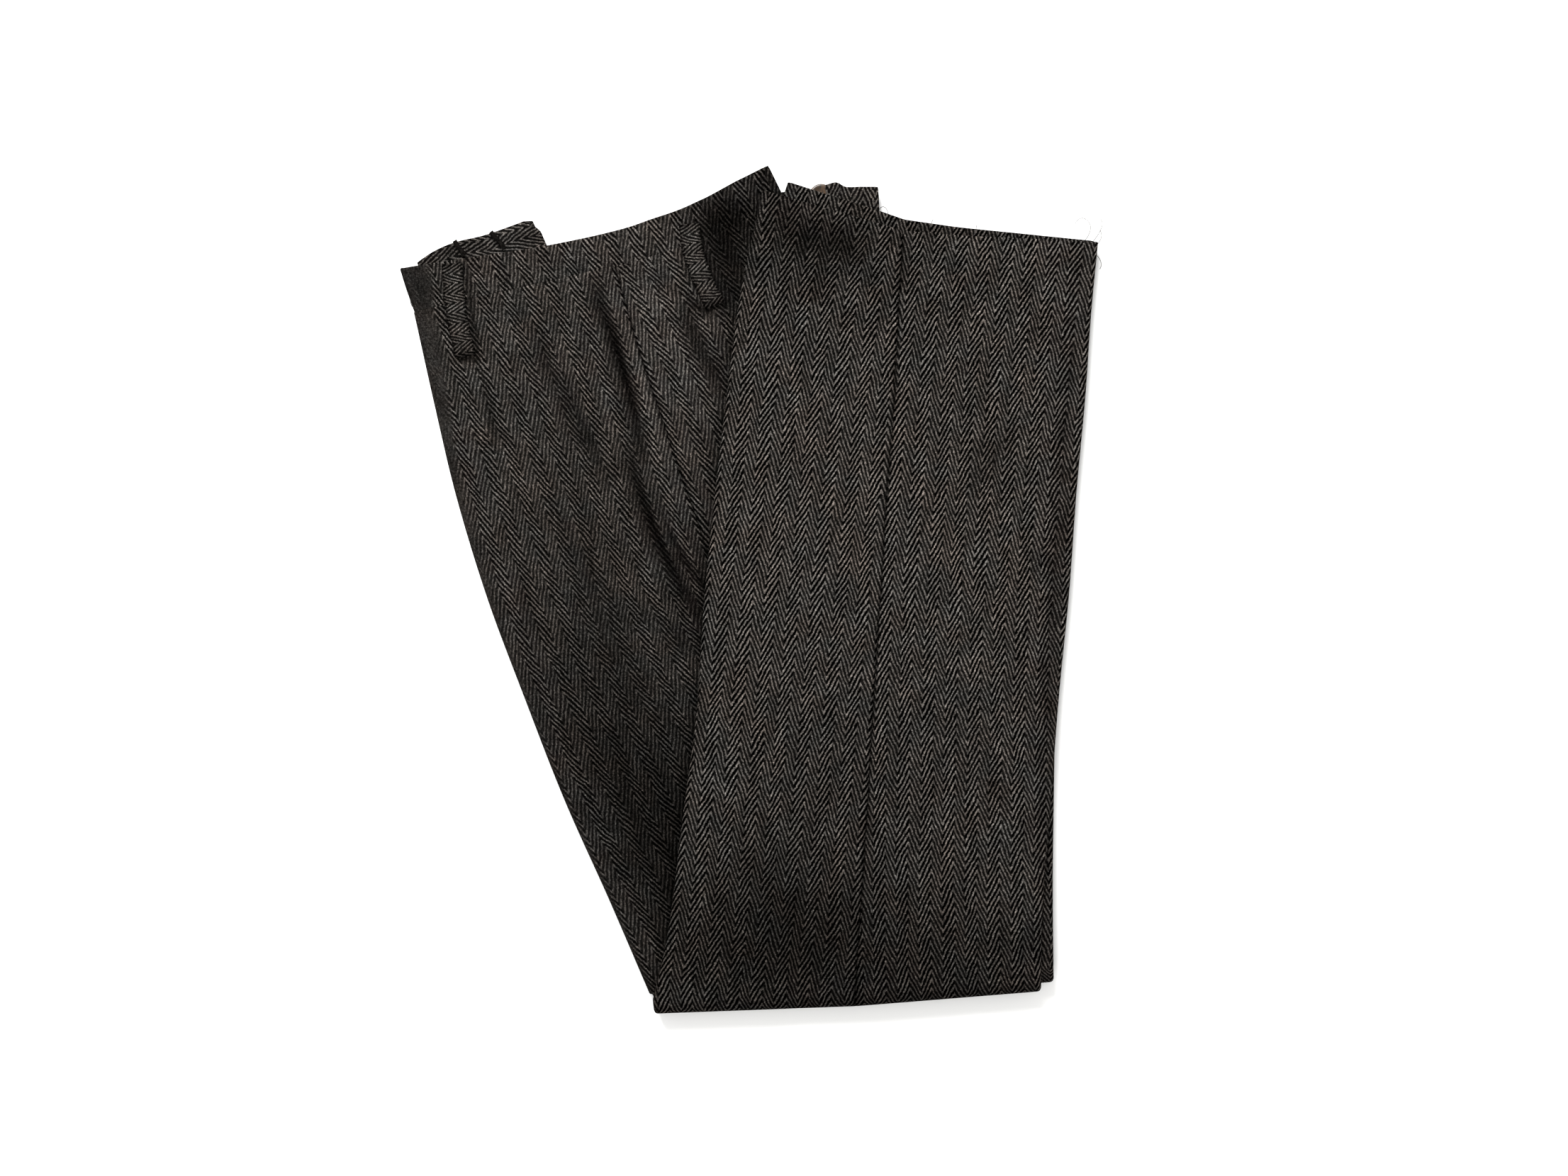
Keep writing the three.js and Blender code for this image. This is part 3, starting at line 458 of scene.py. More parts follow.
def clothShell(name, grid, weave, tone, thick, material, facing, rimSteps=3):
    # a closed sheet of cloth under a grid of surface points, with rounded edges
    rows, columns = grid.shape[:2]
    normal = gridNormals(grid)
    if normal[rows // 8, columns // 3] @ facing < 0:
        normal = -normal
    inner = grid - normal * thick
    ring = [(0, j) for j in range(columns - 1)] + [(i, columns - 1) for i in range(rows - 1)]
    ring += [(rows - 1, j) for j in range(columns - 1, 0, -1)] + [(i, 0) for i in range(rows - 1, 0, -1)]
    points = [grid.reshape(-1, 3), inner.reshape(-1, 3)]
    i, j = np.array(ring).T
    nextI = np.where(i == 0, 1, np.where(i == rows - 1, rows - 2, i))
    nextJ = np.where(j == 0, 1, np.where(j == columns - 1, columns - 2, j))
    outwards = grid[i, j] - grid[nextI, nextJ]
    outwards /= np.maximum(np.linalg.norm(outwards, axis=1, keepdims=True), 1e-9)
    middle = (grid[i, j] + inner[i, j]) / 2
    for step in range(1, rimSteps + 1):
        angle = math.pi * step / (rimSteps + 1)
        across = (grid[i, j] - inner[i, j]) / 2
        points.append(middle + across * math.cos(angle) + outwards * (thick / 2 * math.sin(angle)))
    index = np.arange(rows * columns).reshape(rows, columns)
    quads = np.stack([index[:-1, :-1], index[1:, :-1], index[1:, 1:], index[:-1, 1:]], -1).reshape(-1, 4)
    under = quads[:, ::-1] + rows * columns
    edge = index[i, j]
    loops = [edge]
    loops += [2 * rows * columns + step * len(ring) + np.arange(len(ring)) for step in range(rimSteps)]
    loops.append(edge + rows * columns)
    rims = []
    for a, b in zip(loops, loops[1:]):
        rims.append(np.stack([a, np.roll(a, -1), np.roll(b, -1), b], -1))
    flip = np.cross(grid[1, 0] - grid[0, 0], grid[0, 1] - grid[0, 0]) @ normal[0, 0] < 0
    faces = np.vstack([quads, under, *rims])
    if flip:
        faces = faces[:, ::-1]
    flatWeave, flatTone = weave.reshape(-1, 2), tone.reshape(-1, 2)
    allWeave = np.vstack([flatWeave, flatWeave] + [weave[i, j]] * rimSteps)
    allTone = np.vstack([flatTone, flatTone] + [tone[i, j]] * rimSteps)
    return makeObject(name, np.vstack(points), faces.tolist(), allWeave, allTone, material)


herringbone = {
    "period": 15.3,  # mm across, one rising and one falling stripe
    "risingShare": 0.52,
    "ribSpacing": 5.93,  # mm along the stripe, from rib to rib
    "ribsPerStripe": 2.84,
}

# How the stripes lean over each part, in degrees to the right of straight up, by how far up the part it is
grains = {
    "legBack": {
        "lean": [(-283, 7), (-174, 5), (-102, 5.3), (-31, 5.3), (40, 6.1), (111, 6.3), (183, 7.5), (275, 10)],
        "from": 30,
        "peak": (40.6, 56.7),
    },
    "legFront": {
        "lean": [
            (-283, -2), (-235, -1), (-174, 0.9), (-102, 1.3), (-31, 2.4),
            (40, 4.5), (111, 4.8), (183, 6.2), (275, 6.5),
        ],
        "from": 150,
        "peak": (100, 56.7),
    },
    "hipBack": {
        "lean": [
            (-283, -26), (-164, -25), (-102, -23), (-45, -22.5),
            (7, -18.3), (54, -17.4), (149, -18.5), (235, -18),
        ],
        "from": -120,
        "peak": (-150, 100),
    },
    "hipFront": {
        "lean": [(-10, -19), (54, -18.5), (102, -20), (149, -24), (192, -25), (260, -25)],
        "from": -40,
        "peak": (-45, 120),
    },
    "hipBand": {"lean": [(180, -18), (290, -22)], "from": -120, "peak": (-140, 220)},
    "under": {"lean": [(0, 0), (1, 0)], "from": 0, "peak": (0, 0)},
}


def weaveField(name):
    # weave coordinates over the plan, across the stripes and along them, which lean as the table says
    grain = grains[name]
    steps = np.linspace(-300, 300, 601)
    lean = np.radians(np.interp(steps, *np.array(grain["lean"], float).T))
    shift = np.concatenate([[0], np.cumsum(np.tan((lean[1:] + lean[:-1]) / 2))])
    run = np.concatenate([[0], np.cumsum(1 / np.cos((lean[1:] + lean[:-1]) / 2))])
    shift -= shift[300] - grain["from"]

    def raw(x, y):
        angle = np.interp(y, steps, lean)
        off = x - np.interp(y, steps, shift)
        return np.stack([off * np.cos(angle), np.interp(y, steps, run) + off * np.sin(angle)], -1)

    peak = raw(*(np.array(value, float) for value in grain["peak"]))
    zero = np.array([peak[0] - herringbone["risingShare"] * herringbone["period"], 0])
    return lambda x, y: raw(x, y) - zero


nearSeam = np.array([0, 0.45, 0.9, 1.4, 2, 2.8, 4.2])  # a panel's first columns, from its seam
pastSeam = 6.0  # where its even columns start
curl = np.radians(np.linspace(16, 165, 11))  # its last ones, round the crease


def seamDip(s):
    return seamTrough["depth"] * np.exp(-((s / seamTrough["halfWidth"]) ** 2))


def roundCrease(edge, across, inward):
    centre = edge + inward * fold["creaseRadius"]
    out = np.sin(curl)[:, None] * across - np.cos(curl)[:, None] * inward
    return centre + fold["creaseRadius"] * out


def panelRow(seam, crease, start, height, inward, flatColumns):
    # one section of a panel: flat from its seam to the crease, then round the crease
    span = crease - seam
    width = np.linalg.norm(span)
    across = np.append(span / width, 0)
    rest = np.linspace(start + pastSeam, width - fold["creaseRadius"], flatColumns - len(nearSeam))
    s = np.concatenate([start + nearSeam, rest])
    surface = np.append(seam, 0) + s[:, None] * across
    surface[:, 2] = height(surface[:, 0], surface[:, 1])
    surface = surface + inward * seamDip(s)[:, None]
    beside = np.concatenate([s, np.full(len(curl), width)])
    return np.vstack([surface, roundCrease(surface[-1], across, inward)]), beside


def curledWeave(surface, flatColumns, field):
    # over the flat part by plan, and round the crease by the cloth's own length
    flatPart = field(surface[:flatColumns, 0], surface[:flatColumns, 1])
    step = (flatPart[-1] - flatPart[-3]) / np.linalg.norm(surface[flatColumns - 1] - surface[flatColumns - 3])
    return np.vstack([flatPart, flatPart[-1] + (fold["creaseRadius"] * curl)[:, None] * step])


def shaded(tone, beside):
    # the side seam lies in its own small shadow
    tone[:, 0] *= 1 - seamTrough["shade"] * np.exp(-((beside / seamTrough["shadeHalfWidth"]) ** 2))
    return tone


def legPanel(side, material):
    # hem, knee bend and underside in one sheet
    size = {"pileRows": 170, "bendRows": 22, "underRows": 70, "flatColumns": 46, "kneeShade": 0.25}
    start, flatColumns = fold["gap"] / 2, size["flatColumns"]
    field = weaveField("legBack" if side == "back" else "legFront")
    grid, weave, tone = [], [], []
    for share in np.linspace(1, 0, size["pileRows"]):
        row, beside = panelRow(shin["seam"](share), shin[side](share), start, shinHeight, -up, flatColumns)
        grid.append(row)
        weave.append(curledWeave(row, flatColumns, field))
        tone.append(shaded(legTone(row[:, 0], row[:, 1]), beside))
    knee, kneeWeave, kneeTone = grid[-1], weave[-1], tone[-1]
    seamEnd, creaseEnd = shin["seam"](0), shin[side](0)
    kneeAcross = np.append((creaseEnd - seamEnd) / np.linalg.norm(creaseEnd - seamEnd), 0)
    half = knee[:flatColumns, 2] / 2
    arc = 0.0
    for angle in np.linspace(0, math.pi, size["bendRows"] + 2)[1:-1]:
        inward = -math.cos(angle) * up - math.sin(angle) * kneeOut
        row = knee[:flatColumns].copy()
        row[:, 2] = half + half * math.cos(angle)
        row += kneeOut * fold["kneeReach"] * math.sin(angle)
        row = np.vstack([row, roundCrease(row[-1], kneeAcross, inward)])
        arc += np.linalg.norm(row[flatColumns // 2] - grid[-1][flatColumns // 2])
        grid.append(row)
        weave.append(kneeWeave - np.array([0, arc]))
        tone.append(kneeTone * (1 - size["kneeShade"] * math.sin(angle), 1))
    for share in np.linspace(1, 0, size["underRows"]):
        seam = thigh["seam"](share) if share < 1 else seamEnd
        crease = thigh[side](share) if share < 1 else creaseEnd
        row, beside = panelRow(seam, crease, start, underside, up, flatColumns)
        arc += np.linalg.norm(row[flatColumns // 2] - grid[-1][flatColumns // 2])
        grid.append(row)
        weave.append(kneeWeave - np.array([0, arc]))
        tone.append(shaded(underTone(row[:, 0], row[:, 1]), beside))
    name = "legBackCloth" if side == "back" else "legFrontCloth"
    grid, weave, tone = np.array(grid), np.array(weave), np.array(tone)
    return clothShell(name, grid, weave, tone, fold["clothThick"], material, up)


def hipBackPanel(material):
    size = {"rows": 210, "flatColumns": 70}
    field = weaveField("hipBack")
    grid, weave, tone = [], [], []
    for share in np.linspace(0, fold["thighEnd"], size["rows"]):
        seam, crease = thigh["seam"](share), thigh["back"](share)
        span = crease - seam
        s = np.linspace(0, np.linalg.norm(span), 500)
        along = seam + s[:, None] * span / np.linalg.norm(span)
        hidden = along[:, 0] > pileEdge(along[:, 1])
        start = max(fold["gap"] / 2, s[hidden].max() if hidden.any() else 0)
        row, beside = panelRow(seam, crease, start, thighHeight, -up, size["flatColumns"])
        grid.append(row)
        weave.append(curledWeave(row, size["flatColumns"], field))
        tone.append(shaded(hipTone(row[:, 0], row[:, 1]), beside))
    grid, weave, tone = np.array(grid), np.array(weave), np.array(tone)
    return clothShell("hipBackCloth", grid, weave, tone, fold["clothThick"], material, up)


def waistRise(x):
    # how far the curved waist seam stands past the straight line between the side seam and the front
    seam, front = thighRows[0]["seam"], thighRows[0]["front"]
    straight = seam[1] + (front[1] - seam[1]) * (x - seam[0]) / (front[0] - seam[0])
    return np.maximum(0, waistSeamY(x) - straight)


def hipFrontPanel(material):
    size = {"rows": 120, "columns": 56, "reach": (2, 140), "waistFade": 0.16}
    grid, tone = [], []
    for share in np.linspace(0, fold["hipFrontEnd"], size["rows"]):
        seam, crease = thigh["seam"](share), thigh["front"](share)
        span = crease - seam
        s = np.linspace(*size["reach"], 600)
        along = seam + s[:, None] * span / np.linalg.norm(span)
        end = s[np.argmax(along[:, 0] >= pileEdge(along[:, 1]))]
        start = fold["gap"] / 2
        rest = np.linspace(start + pastSeam, end, size["columns"] - len(nearSeam))
        s = np.concatenate([start + nearSeam, rest])
        row = seam + s[:, None] * span / np.linalg.norm(span)
        row[:, 1] += waistRise(row[:, 0]) * (1 - smoothstep(share, 0, size["waistFade"]))
        grid.append(np.column_stack([row, thighHeight(row[:, 0], row[:, 1]) - seamDip(s)]))
        tone.append(shaded(hipTone(row[:, 0], row[:, 1]), s))
    grid = np.array(grid)
    weave = weaveField("hipFront")(grid[..., 0], grid[..., 1])
    return clothShell("hipFrontCloth", grid, weave, np.array(tone), fold["clothThick"], material, up)


bandShape = {
    "thick": 2.2,  # doubled cloth
    "wall": 1.9,  # of it, as one sheet
    "columns": 14,
    "offSeam": 0.6,
    "crown": 0.3,  # between seam and top
    "sunk": 0.35,  # seam and top below the surface
    "endAngles": np.radians(np.linspace(160, 14, 10)),  # round the back crease
}


def band(name, rows, height, facing, field, material, options):
    # a length of waistband; options may turn its first end round the back crease
    top, seam = columnCurve(rows, "top"), columnCurve(rows, "seam")
    turned, toneAt = options.get("turned", 0), options.get("tone", evenTone)
    columns = bandShape["columns"]
    crown = bandShape["crown"] * np.sin(np.linspace(0, np.pi, columns)) - bandShape["sunk"]
    grid, weave, tone = [], [], []

    def station(share):
        low, high = seam(share), top(share)
        rise = (high - low) / np.linalg.norm(high - low)
        return np.linspace(low + rise * bandShape["offSeam"], high - rise * bandShape["thick"] / 2, columns)

    def put(plan, shift, depth, out, extra):
        point = np.column_stack([plan, height(plan[:, 0], plan[:, 1])]) - facing * depth + shift
        point += out * crown[:, None]
        grid.append(point)
        weave.append(field(plan[:, 0], plan[:, 1]) + np.array([extra, 0]))
        tone.append(toneAt(plan[:, 0], plan[:, 1]))

    if turned:
        start = station(0)
        outwards = np.append(start[0] - station(0.02)[0], 0)
        outwards /= np.linalg.norm(outwards)
        for angle in bandShape["endAngles"]:
            out = outwards * math.sin(angle) + facing * math.cos(angle)
            shift = outwards * turned * (math.sin(angle) - 1)
            put(start, shift, turned * (1 - math.cos(angle)), out, -turned * angle)
    for share in np.linspace(turned / 300, 1, options["steps"]):
        put(station(share), np.zeros(3), 0, facing, 0)
    grid, weave, tone = np.array(grid), np.array(weave), np.array(tone)
    return clothShell(name, grid, weave, tone, bandShape["wall"], material, facing, rimSteps=5)


seatBand = {
    "base": 3.0,
    "columns": 12,
    "ends": (0.02, 0.96),  # as shares of its rows; the second is its fold
    "steps": (12, 30),  # along the lower and the upper layer
    "foldAngles": np.radians(np.linspace(15, 165, 9)),
    "corner": 3.4,  # how far the fold draws in at its top
    "dark": 0.25,  # painted shade, darker towards its outer end by the back crease
}
seatBand["top"] = seatBand["base"] + 2 * bandShape["thick"] + fold["gap"]


def seatBandPiece(material):
    # the lower layer, its fold at the centre back and the upper layer that shows
    top, seam = columnCurve(seatRows, "top"), columnCurve(seatRows, "seam")
    half = (seatBand["top"] - seatBand["base"]) / 2
    middle = seatBand["base"] + half
    columns = seatBand["columns"]
    part = np.linspace(0, 1, columns)
    first, last = seatBand["ends"]
    grid, weave = [], []
    length = 0.0

    def put(share, cosine, sine):
        nonlocal length
        low, high = seam(share), top(share)
        rise = (high - low) / np.linalg.norm(high - low)
        sideways = np.array([rise[1], -rise[0]])
        lowered = 1 + 2 * smoothstep(share, 0.9, last)
        corner = seatBand["corner"] * smoothstep(part, 0.7, 1)
        plan = np.linspace(low, high - rise * lowered, columns) + sideways * (half - corner[:, None]) * sine
        z = middle + half * cosine * (1 - 0.08 * (2 * part - 1) ** 4)
        row = np.column_stack([plan, z])
        if grid:
            length += np.linalg.norm(row[columns // 2] - grid[-1][columns // 2])
        grid.append(row)
        across = np.linalg.norm(high - low) * part
        weave.append(np.column_stack([across + 3, np.full(columns, length)]))

    for share in np.linspace(first, last, seatBand["steps"][0]):
        put(share, -1, 0)
    for angle in seatBand["foldAngles"]:
        put(last, -math.cos(angle), math.sin(angle))
    for share in np.linspace(last, first, seatBand["steps"][1]):
        put(share, 1, 0)
    grid, weave = np.array(grid), np.array(weave)
    tone = evenTone(grid[..., 0], grid[..., 1])
    # painted shade towards the band's outer end
    tone[..., 0] -= seatBand["dark"] * (1 - smoothstep(grid[..., 0], -215, -140))
    return clothShell("seatBand", grid, weave, tone, bandShape["wall"], material, -up, rimSteps=5)


def beltLoop(name, route, material):
    size = {
        "width": 13.0,
        "thick": 1.4,
        "rows": 60,
        "columns": 15,
        "waist": 0.05,  # how far it narrows between its stitches
        "lift": 0.6,
        "slack": 1.2,
        "ripple": 0.35,
        "crown": 0.35,
        "ends": (0.07, 0.92),  # pressed down, and darkened by painted shade, past these shares of its length
        "grain": 1.15,
        "edgeShade": 0.6,
        "endShade": 0.6,
    }
    path = smoothCurve(route)
    share = np.linspace(0, 1, size["rows"])
    middle = path(share)
    along = np.gradient(middle, axis=0)
    along /= np.linalg.norm(along, axis=1, keepdims=True)
    sideways = np.column_stack([along[:, 1], -along[:, 0]])
    lengths = np.concatenate([[0], np.cumsum(np.linalg.norm(np.diff(middle, axis=0), axis=1))])
    sides = np.linspace(-1, 1, size["columns"])
    halfWidth = (1 - size["waist"] * np.sin(3 * np.pi * share) ** 2) * size["width"] / 2
    plan = middle[:, None] + sideways[:, None] * (sides[None, :, None] * halfWidth[:, None, None])
    under = thighHeight(plan[..., 0], plan[..., 1])
    ground = np.maximum(under, thighHeight(middle[:, 0], middle[:, 1])[:, None])
    ripple = size["ripple"] * np.sin(2.6 * np.pi * share + 0.8)
    rise = size["lift"] + size["slack"] * np.sqrt(np.sin(np.pi * share)) + ripple
    free = smoothstep(share, 0, size["ends"][0]) * (1 - smoothstep(share, size["ends"][1], 1))
    crown = size["crown"] * (1 - sides**4)
    z = ground + (rise * (0.5 + 0.5 * free))[:, None] + size["thick"] + crown[None, :]
    grid = np.dstack([plan, z])
    across = sides[None, :] * size["width"] / 2
    weave = np.dstack(np.broadcast_arrays(lengths[:, None], across)) * size["grain"]
    tone = evenTone(plan[..., 0], plan[..., 1])
    # painted shade along the loop's edges and over its pressed-down ends
    tone[..., 0] = (1 - size["edgeShade"] * np.abs(sides) ** 5) * (1 - size["endShade"] * (1 - free))[:, None]
    return clothShell(name, grid, weave, tone, size["thick"], material, up, rimSteps=4)


def edgeLoop(name, start, end, material):
    # a loop seen on its edge, standing on the seat's band
    size = {
        "width": 3.2,
        "tall": 2.4,
        "lowered": 1.1,  # at its end
        "foot": 0.5,
        "wall": 0.7,
        "wobble": 0.25,
        "rows": 18,
        "turn": np.linspace(-0.42 * np.pi, 0.42 * np.pi, 9),  # over its rounded top
        "grain": (2.0, 14.0),  # mm of weave across it and along it
        # painted shade: the loop's side lies in shade
        "light": 0.35,
        "plain": 0.9,
    }
    start, end = np.array(start, float), np.array(end, float)
    sideways = np.array([end[1] - start[1], start[0] - end[0]]) / np.linalg.norm(end - start)
    share = np.linspace(0, 1, size["rows"])
    crown = size["tall"] - size["lowered"] * (1 - np.sin(np.pi * np.clip(share + 0.12, 0, 1)))
    middle = start + share[:, None] * (end - start) + sideways * (size["wobble"] * np.sin(7 * share))[:, None]
    plan = middle[:, None] + sideways * (np.sin(size["turn"])[None, :, None] * size["width"] / 2)
    roundness = np.sqrt(np.cos(size["turn"]))
    base = seatBand["top"] + fold["gap"] + size["foot"]
    grid = np.dstack([plan, base + (crown - size["foot"])[:, None] * roundness[None, :]])
    grain = size["grain"]
    weave = np.dstack(np.broadcast_arrays(grain[0] * size["turn"][None, :], grain[1] * share[:, None]))
    # painted shade: the loop's side lies in shade, dark and with its weave lost
    tone = evenTone(plan[..., 0], plan[..., 1]) * (size["light"], 1) + (0, size["plain"])
    return clothShell(name, grid, weave, tone, size["wall"], material, up)


def slabFaces(rings, first):
    # a closed body through rings with the same count of points
    points = np.vstack(rings)
    count = len(rings[0])
    index = np.arange(len(points)).reshape(len(rings), count)
    following = np.roll(index, -1, axis=1)
    faces = np.stack([index[:-1], index[1:], following[1:], following[:-1]], -1).reshape(-1, 4).tolist()
    faces += [index[0].tolist(), index[-1][::-1].tolist()]
    a, b, c = points[faces[0][0]], points[faces[0][1]], points[faces[0][2]]
    outward = np.cross(b - a, c - a) @ (a - points[: 2 * count].mean(axis=0)) > 0
    step = 1 if outward else -1
    return [[first + corner for corner in face[::step]] for face in faces]


def ringOf(low, high, roundness, edgeSteps=6):
    # a flat ring of points, from a lower and an upper line that run left to right, with round ends
    left, right = (low[0] + high[0]) / 2, (low[-1] + high[-1]) / 2
    across = (right - left) / np.linalg.norm(right - left)
    angles = np.pi * np.arange(1, edgeSteps + 1)[:, None] / (edgeSteps + 1)

    def end(top, bottom, sign):
        middle, half = (top + bottom) / 2, (top - bottom) / 2
        return middle + sign * (np.cos(angles) * half + np.sin(angles) * across * roundness)

    return np.vstack([high, end(high[-1], low[-1], 1), low[::-1], end(high[0], low[0], -1)])


def innerLayers(material):
    # the leg inside the fold, hem to knee to waist, and what fills the outer leg behind its cloth
    size = {
        "pileRows": 90,
        "bendRows": 10,
        "underRows": 60,
        "columns": 60,
        "hemDepth": 9.0,  # how far one sees into the hem
        "hemWall": 1.1,
        "hemInset": 1.6,
        "behindCloth": 0.25,  # between a cloth that shows and what fills its leg
        "thighDrop": 0.9,  # below the hip's cloth, clear of its folds
        "landing": (3.0, 26.0),  # where the inner leg comes down past the thighs
        "shades": {"deep": 0.2, "mouth": 0.45, "pile": 0.95, "knee": 0.7, "under": 0.8},
    }
    columns, shades, behind = size["columns"], size["shades"], size["behindCloth"]
    clothThick, legThick = fold["clothThick"], fold["legThick"]
    field = weaveField("legFront")
    points, faces, allWeaves, allTones = [], [], [], []

    def line(edges, share, inset, height):
        # a section through both panels, bent at the side seam
        left, seam, right = (edges[name](share) for name in ("back", "seam", "front"))
        widths = np.linalg.norm(seam - left), np.linalg.norm(right - seam)
        places = np.linspace(inset[0] - widths[0], widths[1] - inset[1], columns)
        toLeft, toRight = (left - seam) / widths[0], (right - seam) / widths[1]
        plan = seam + np.where(places[:, None] < 0, -places[:, None] * toLeft, places[:, None] * toRight)
        return np.column_stack([plan, height(plan[:, 0], plan[:, 1])])

    def landing(x, y):
        onThigh = thighHeight(x, y) + fold["pileLift"]
        return onThigh * (1 - smoothstep(pastThigh(x, y), *size["landing"]))

    legs = [
        {
            "edges": innerShin,
            "high": lambda x, y: shinHeight(x, y) - legThick - fold["gap"],
            "low": landing,
            "inset": (2.4, 2.4),
            "bend": (5.4, 0.25),  # outer and inner radius at the knee
            "thighHigh": lambda x, y: thighHeight(x, y) - clothThick - size["thighDrop"],
            "thighLow": lambda x, y: np.full_like(x, legThick + fold["gap"]),
            "kneeInset": (2.4, -6.6),
        },
        {
            "edges": shin,
            "high": lambda x, y: shinHeight(x, y) - clothThick - behind,
            "low": lambda x, y: shinHeight(x, y) - legThick + 0.05,
            "inset": (3.4, 3.4),
            "bend": (9.2, 5.9),
            "thighHigh": lambda x, y: np.full_like(x, legThick - 0.1),
            "thighLow": lambda x, y: clothThick + behind + underside(x, y),
            "kneeInset": (3.4, 3.4),
        },
    ]
    for leg in legs:
        rings, weaves, tones = [], [], []
        edges, inset = leg["edges"], leg["inset"]

        def add(low, high, roundness, arc, tone):
            ring = ringOf(low, high, roundness)
            coordinates = field(ring[:, 0], ring[:, 1])
            if arc is not None:
                coordinates[:, 1] = coordinates[:, 1].min() - arc
            rings.append(ring)
            weaves.append(coordinates + np.array([4.0, 1.2]))
            tones.append(evenTone(ring[:, 0], ring[:, 1]) * (tone, 1))

        hemLow, hemHigh = line(edges, 1, inset, leg["low"]), line(edges, 1, inset, leg["high"])
        middle = (hemLow + hemHigh) / 2
        wall = size["hemWall"] * up
        inLow = np.minimum(hemLow + wall, middle - 0.2 * up)
        inHigh = np.maximum(hemHigh - wall, middle + 0.2 * up)
        back = np.array([0, size["hemDepth"], 0])
        add(inLow - back, inHigh - back, inset[0] - size["hemInset"], None, shades["deep"])
        add(inLow, inHigh, inset[0] - size["hemInset"], None, shades["mouth"])
        for share in np.linspace(1, 0, size["pileRows"]):
            low, high = line(edges, share, inset, leg["low"]), line(edges, share, inset, leg["high"])
            low = np.minimum(low, high - 0.4 * up) if edges is shin else low
            add(low, high, inset[0], None, shades["pile"])
        outer, inner = leg["bend"]
        kneeLine = line(shin, 0, leg["kneeInset"], flat)
        axis = kneeLine + (thighTop + fold["pileLift"] / 2) * up
        for n, angle in enumerate(np.linspace(0, math.pi, size["bendRows"])):
            out = math.sin(angle) * kneeOut + math.cos(angle) * up
            add(axis + out * inner, axis + out * outer, inset[0], 1.8 * n, shades["knee"])
        for share in np.linspace(0.985, 0.01, size["underRows"]):
            low, high = (line(thigh, share, inset, leg[name]) for name in ("thighLow", "thighHigh"))
            add(low, high, inset[0], None, shades["under"])
        faces += slabFaces(rings, sum(len(ring) for ring in points))
        points += rings
        allWeaves += weaves
        allTones += tones
    weave, tone = np.vstack(allWeaves), np.vstack(allTones)
    return makeObject("innerLayers", np.vstack(points), faces, weave, tone, material)


# Materials
def linear(hexColour):
    channels = [int(hexColour[i : i + 2], 16) / 255 for i in (1, 3, 5)]
    return tuple(c / 12.92 if c <= 0.04045 else ((c + 0.055) / 1.055) ** 2.4 for c in channels) + (1.0,)


def addNode(tree, kind, inputs=None, **settings):
    # an input is a value, an output, or a node, whose first output is then meant
    node = tree.nodes.new(kind)
    for name, value in settings.items():
        setattr(node, name, value)
    for key, value in (inputs or {}).items():
        if isinstance(value, bpy.types.Node):
            value = value.outputs[0]
        if isinstance(value, bpy.types.NodeSocket):
            tree.links.new(value, node.inputs[key])
        else:
            node.inputs[key].default_value = value
    return node


def newMaterial(name):
    material = bpy.data.materials.new(name)
    material.use_nodes = True
    material.node_tree.nodes.clear()
    return material, material.node_tree


wool = {
    "light": "#54524f",
    "brown": "#584e47",
    # near black: the dark yarn's own colour, with painted shade in the grooves between the ribs
    "dark": "#010101",
    "brightness": 1.0,
    "average": 0.13,  # the light yarns' share where the weave is lost
    "risingContrast": 1.0,  # how far the rising stripe's ribs stand out, and the falling one's: painted light raking across the ribs
    "fallingContrast": 0.7,
    "ribHeight": 0.35,  # mm
    "napHeight": 0.8,  # of a rib's height
    "roughness": 0.95,
    # across a rib: a dark yarn, then two light ones side by side
    "rib": [
        (0.0, 0.0), (0.18, 0.0), (0.26, 0.66), (0.35, 1.0), (0.44, 0.8), (0.52, 1.0), (0.61, 0.68),
        (0.69, 0.02), (0.92, 0.0),
    ],
    "wander": [(0.045, 4.0), (0.4, 1.1), (1.3, 1.0)],  # waves per mm and reach in mm
    # noises that change the lightness: where, waves per mm, detail, and the span they are stretched to
    "uneven": [
        {"on": "yarns", "noise": (0.55, 3.0, 0.7), "from": (0.3, 0.7), "to": (0.3, 1.8)},  # each yarn's own
        {"on": "cloth", "noise": (0.05, 2.0, 0.5), "from": (0.3, 0.7), "to": (0.88, 1.1)},  # large patches
        {"on": "streaks", "noise": (0.11, 2.0, 0.5), "from": (0.3, 0.7), "to": (0.7, 1.26)},  # the press's
        {"on": "cloth", "noise": (0.7, 2.0, 0.5), "from": (0.38, 0.62), "to": (0.5, 1.4)},  # broken ribs
        {"on": "cloth", "noise": (1.1, 1.0, 0.5), "from": (0.58, 0.74), "to": (1.0, 2.6)},  # light flecks
    ],
    "yarnsPerRib": 4.0,
    "streakLength": 0.35,  # waves along a streak, for each wave across it
    "browning": {"scale": 0.05, "from": (0.35, 0.65), "most": 0.6},
}


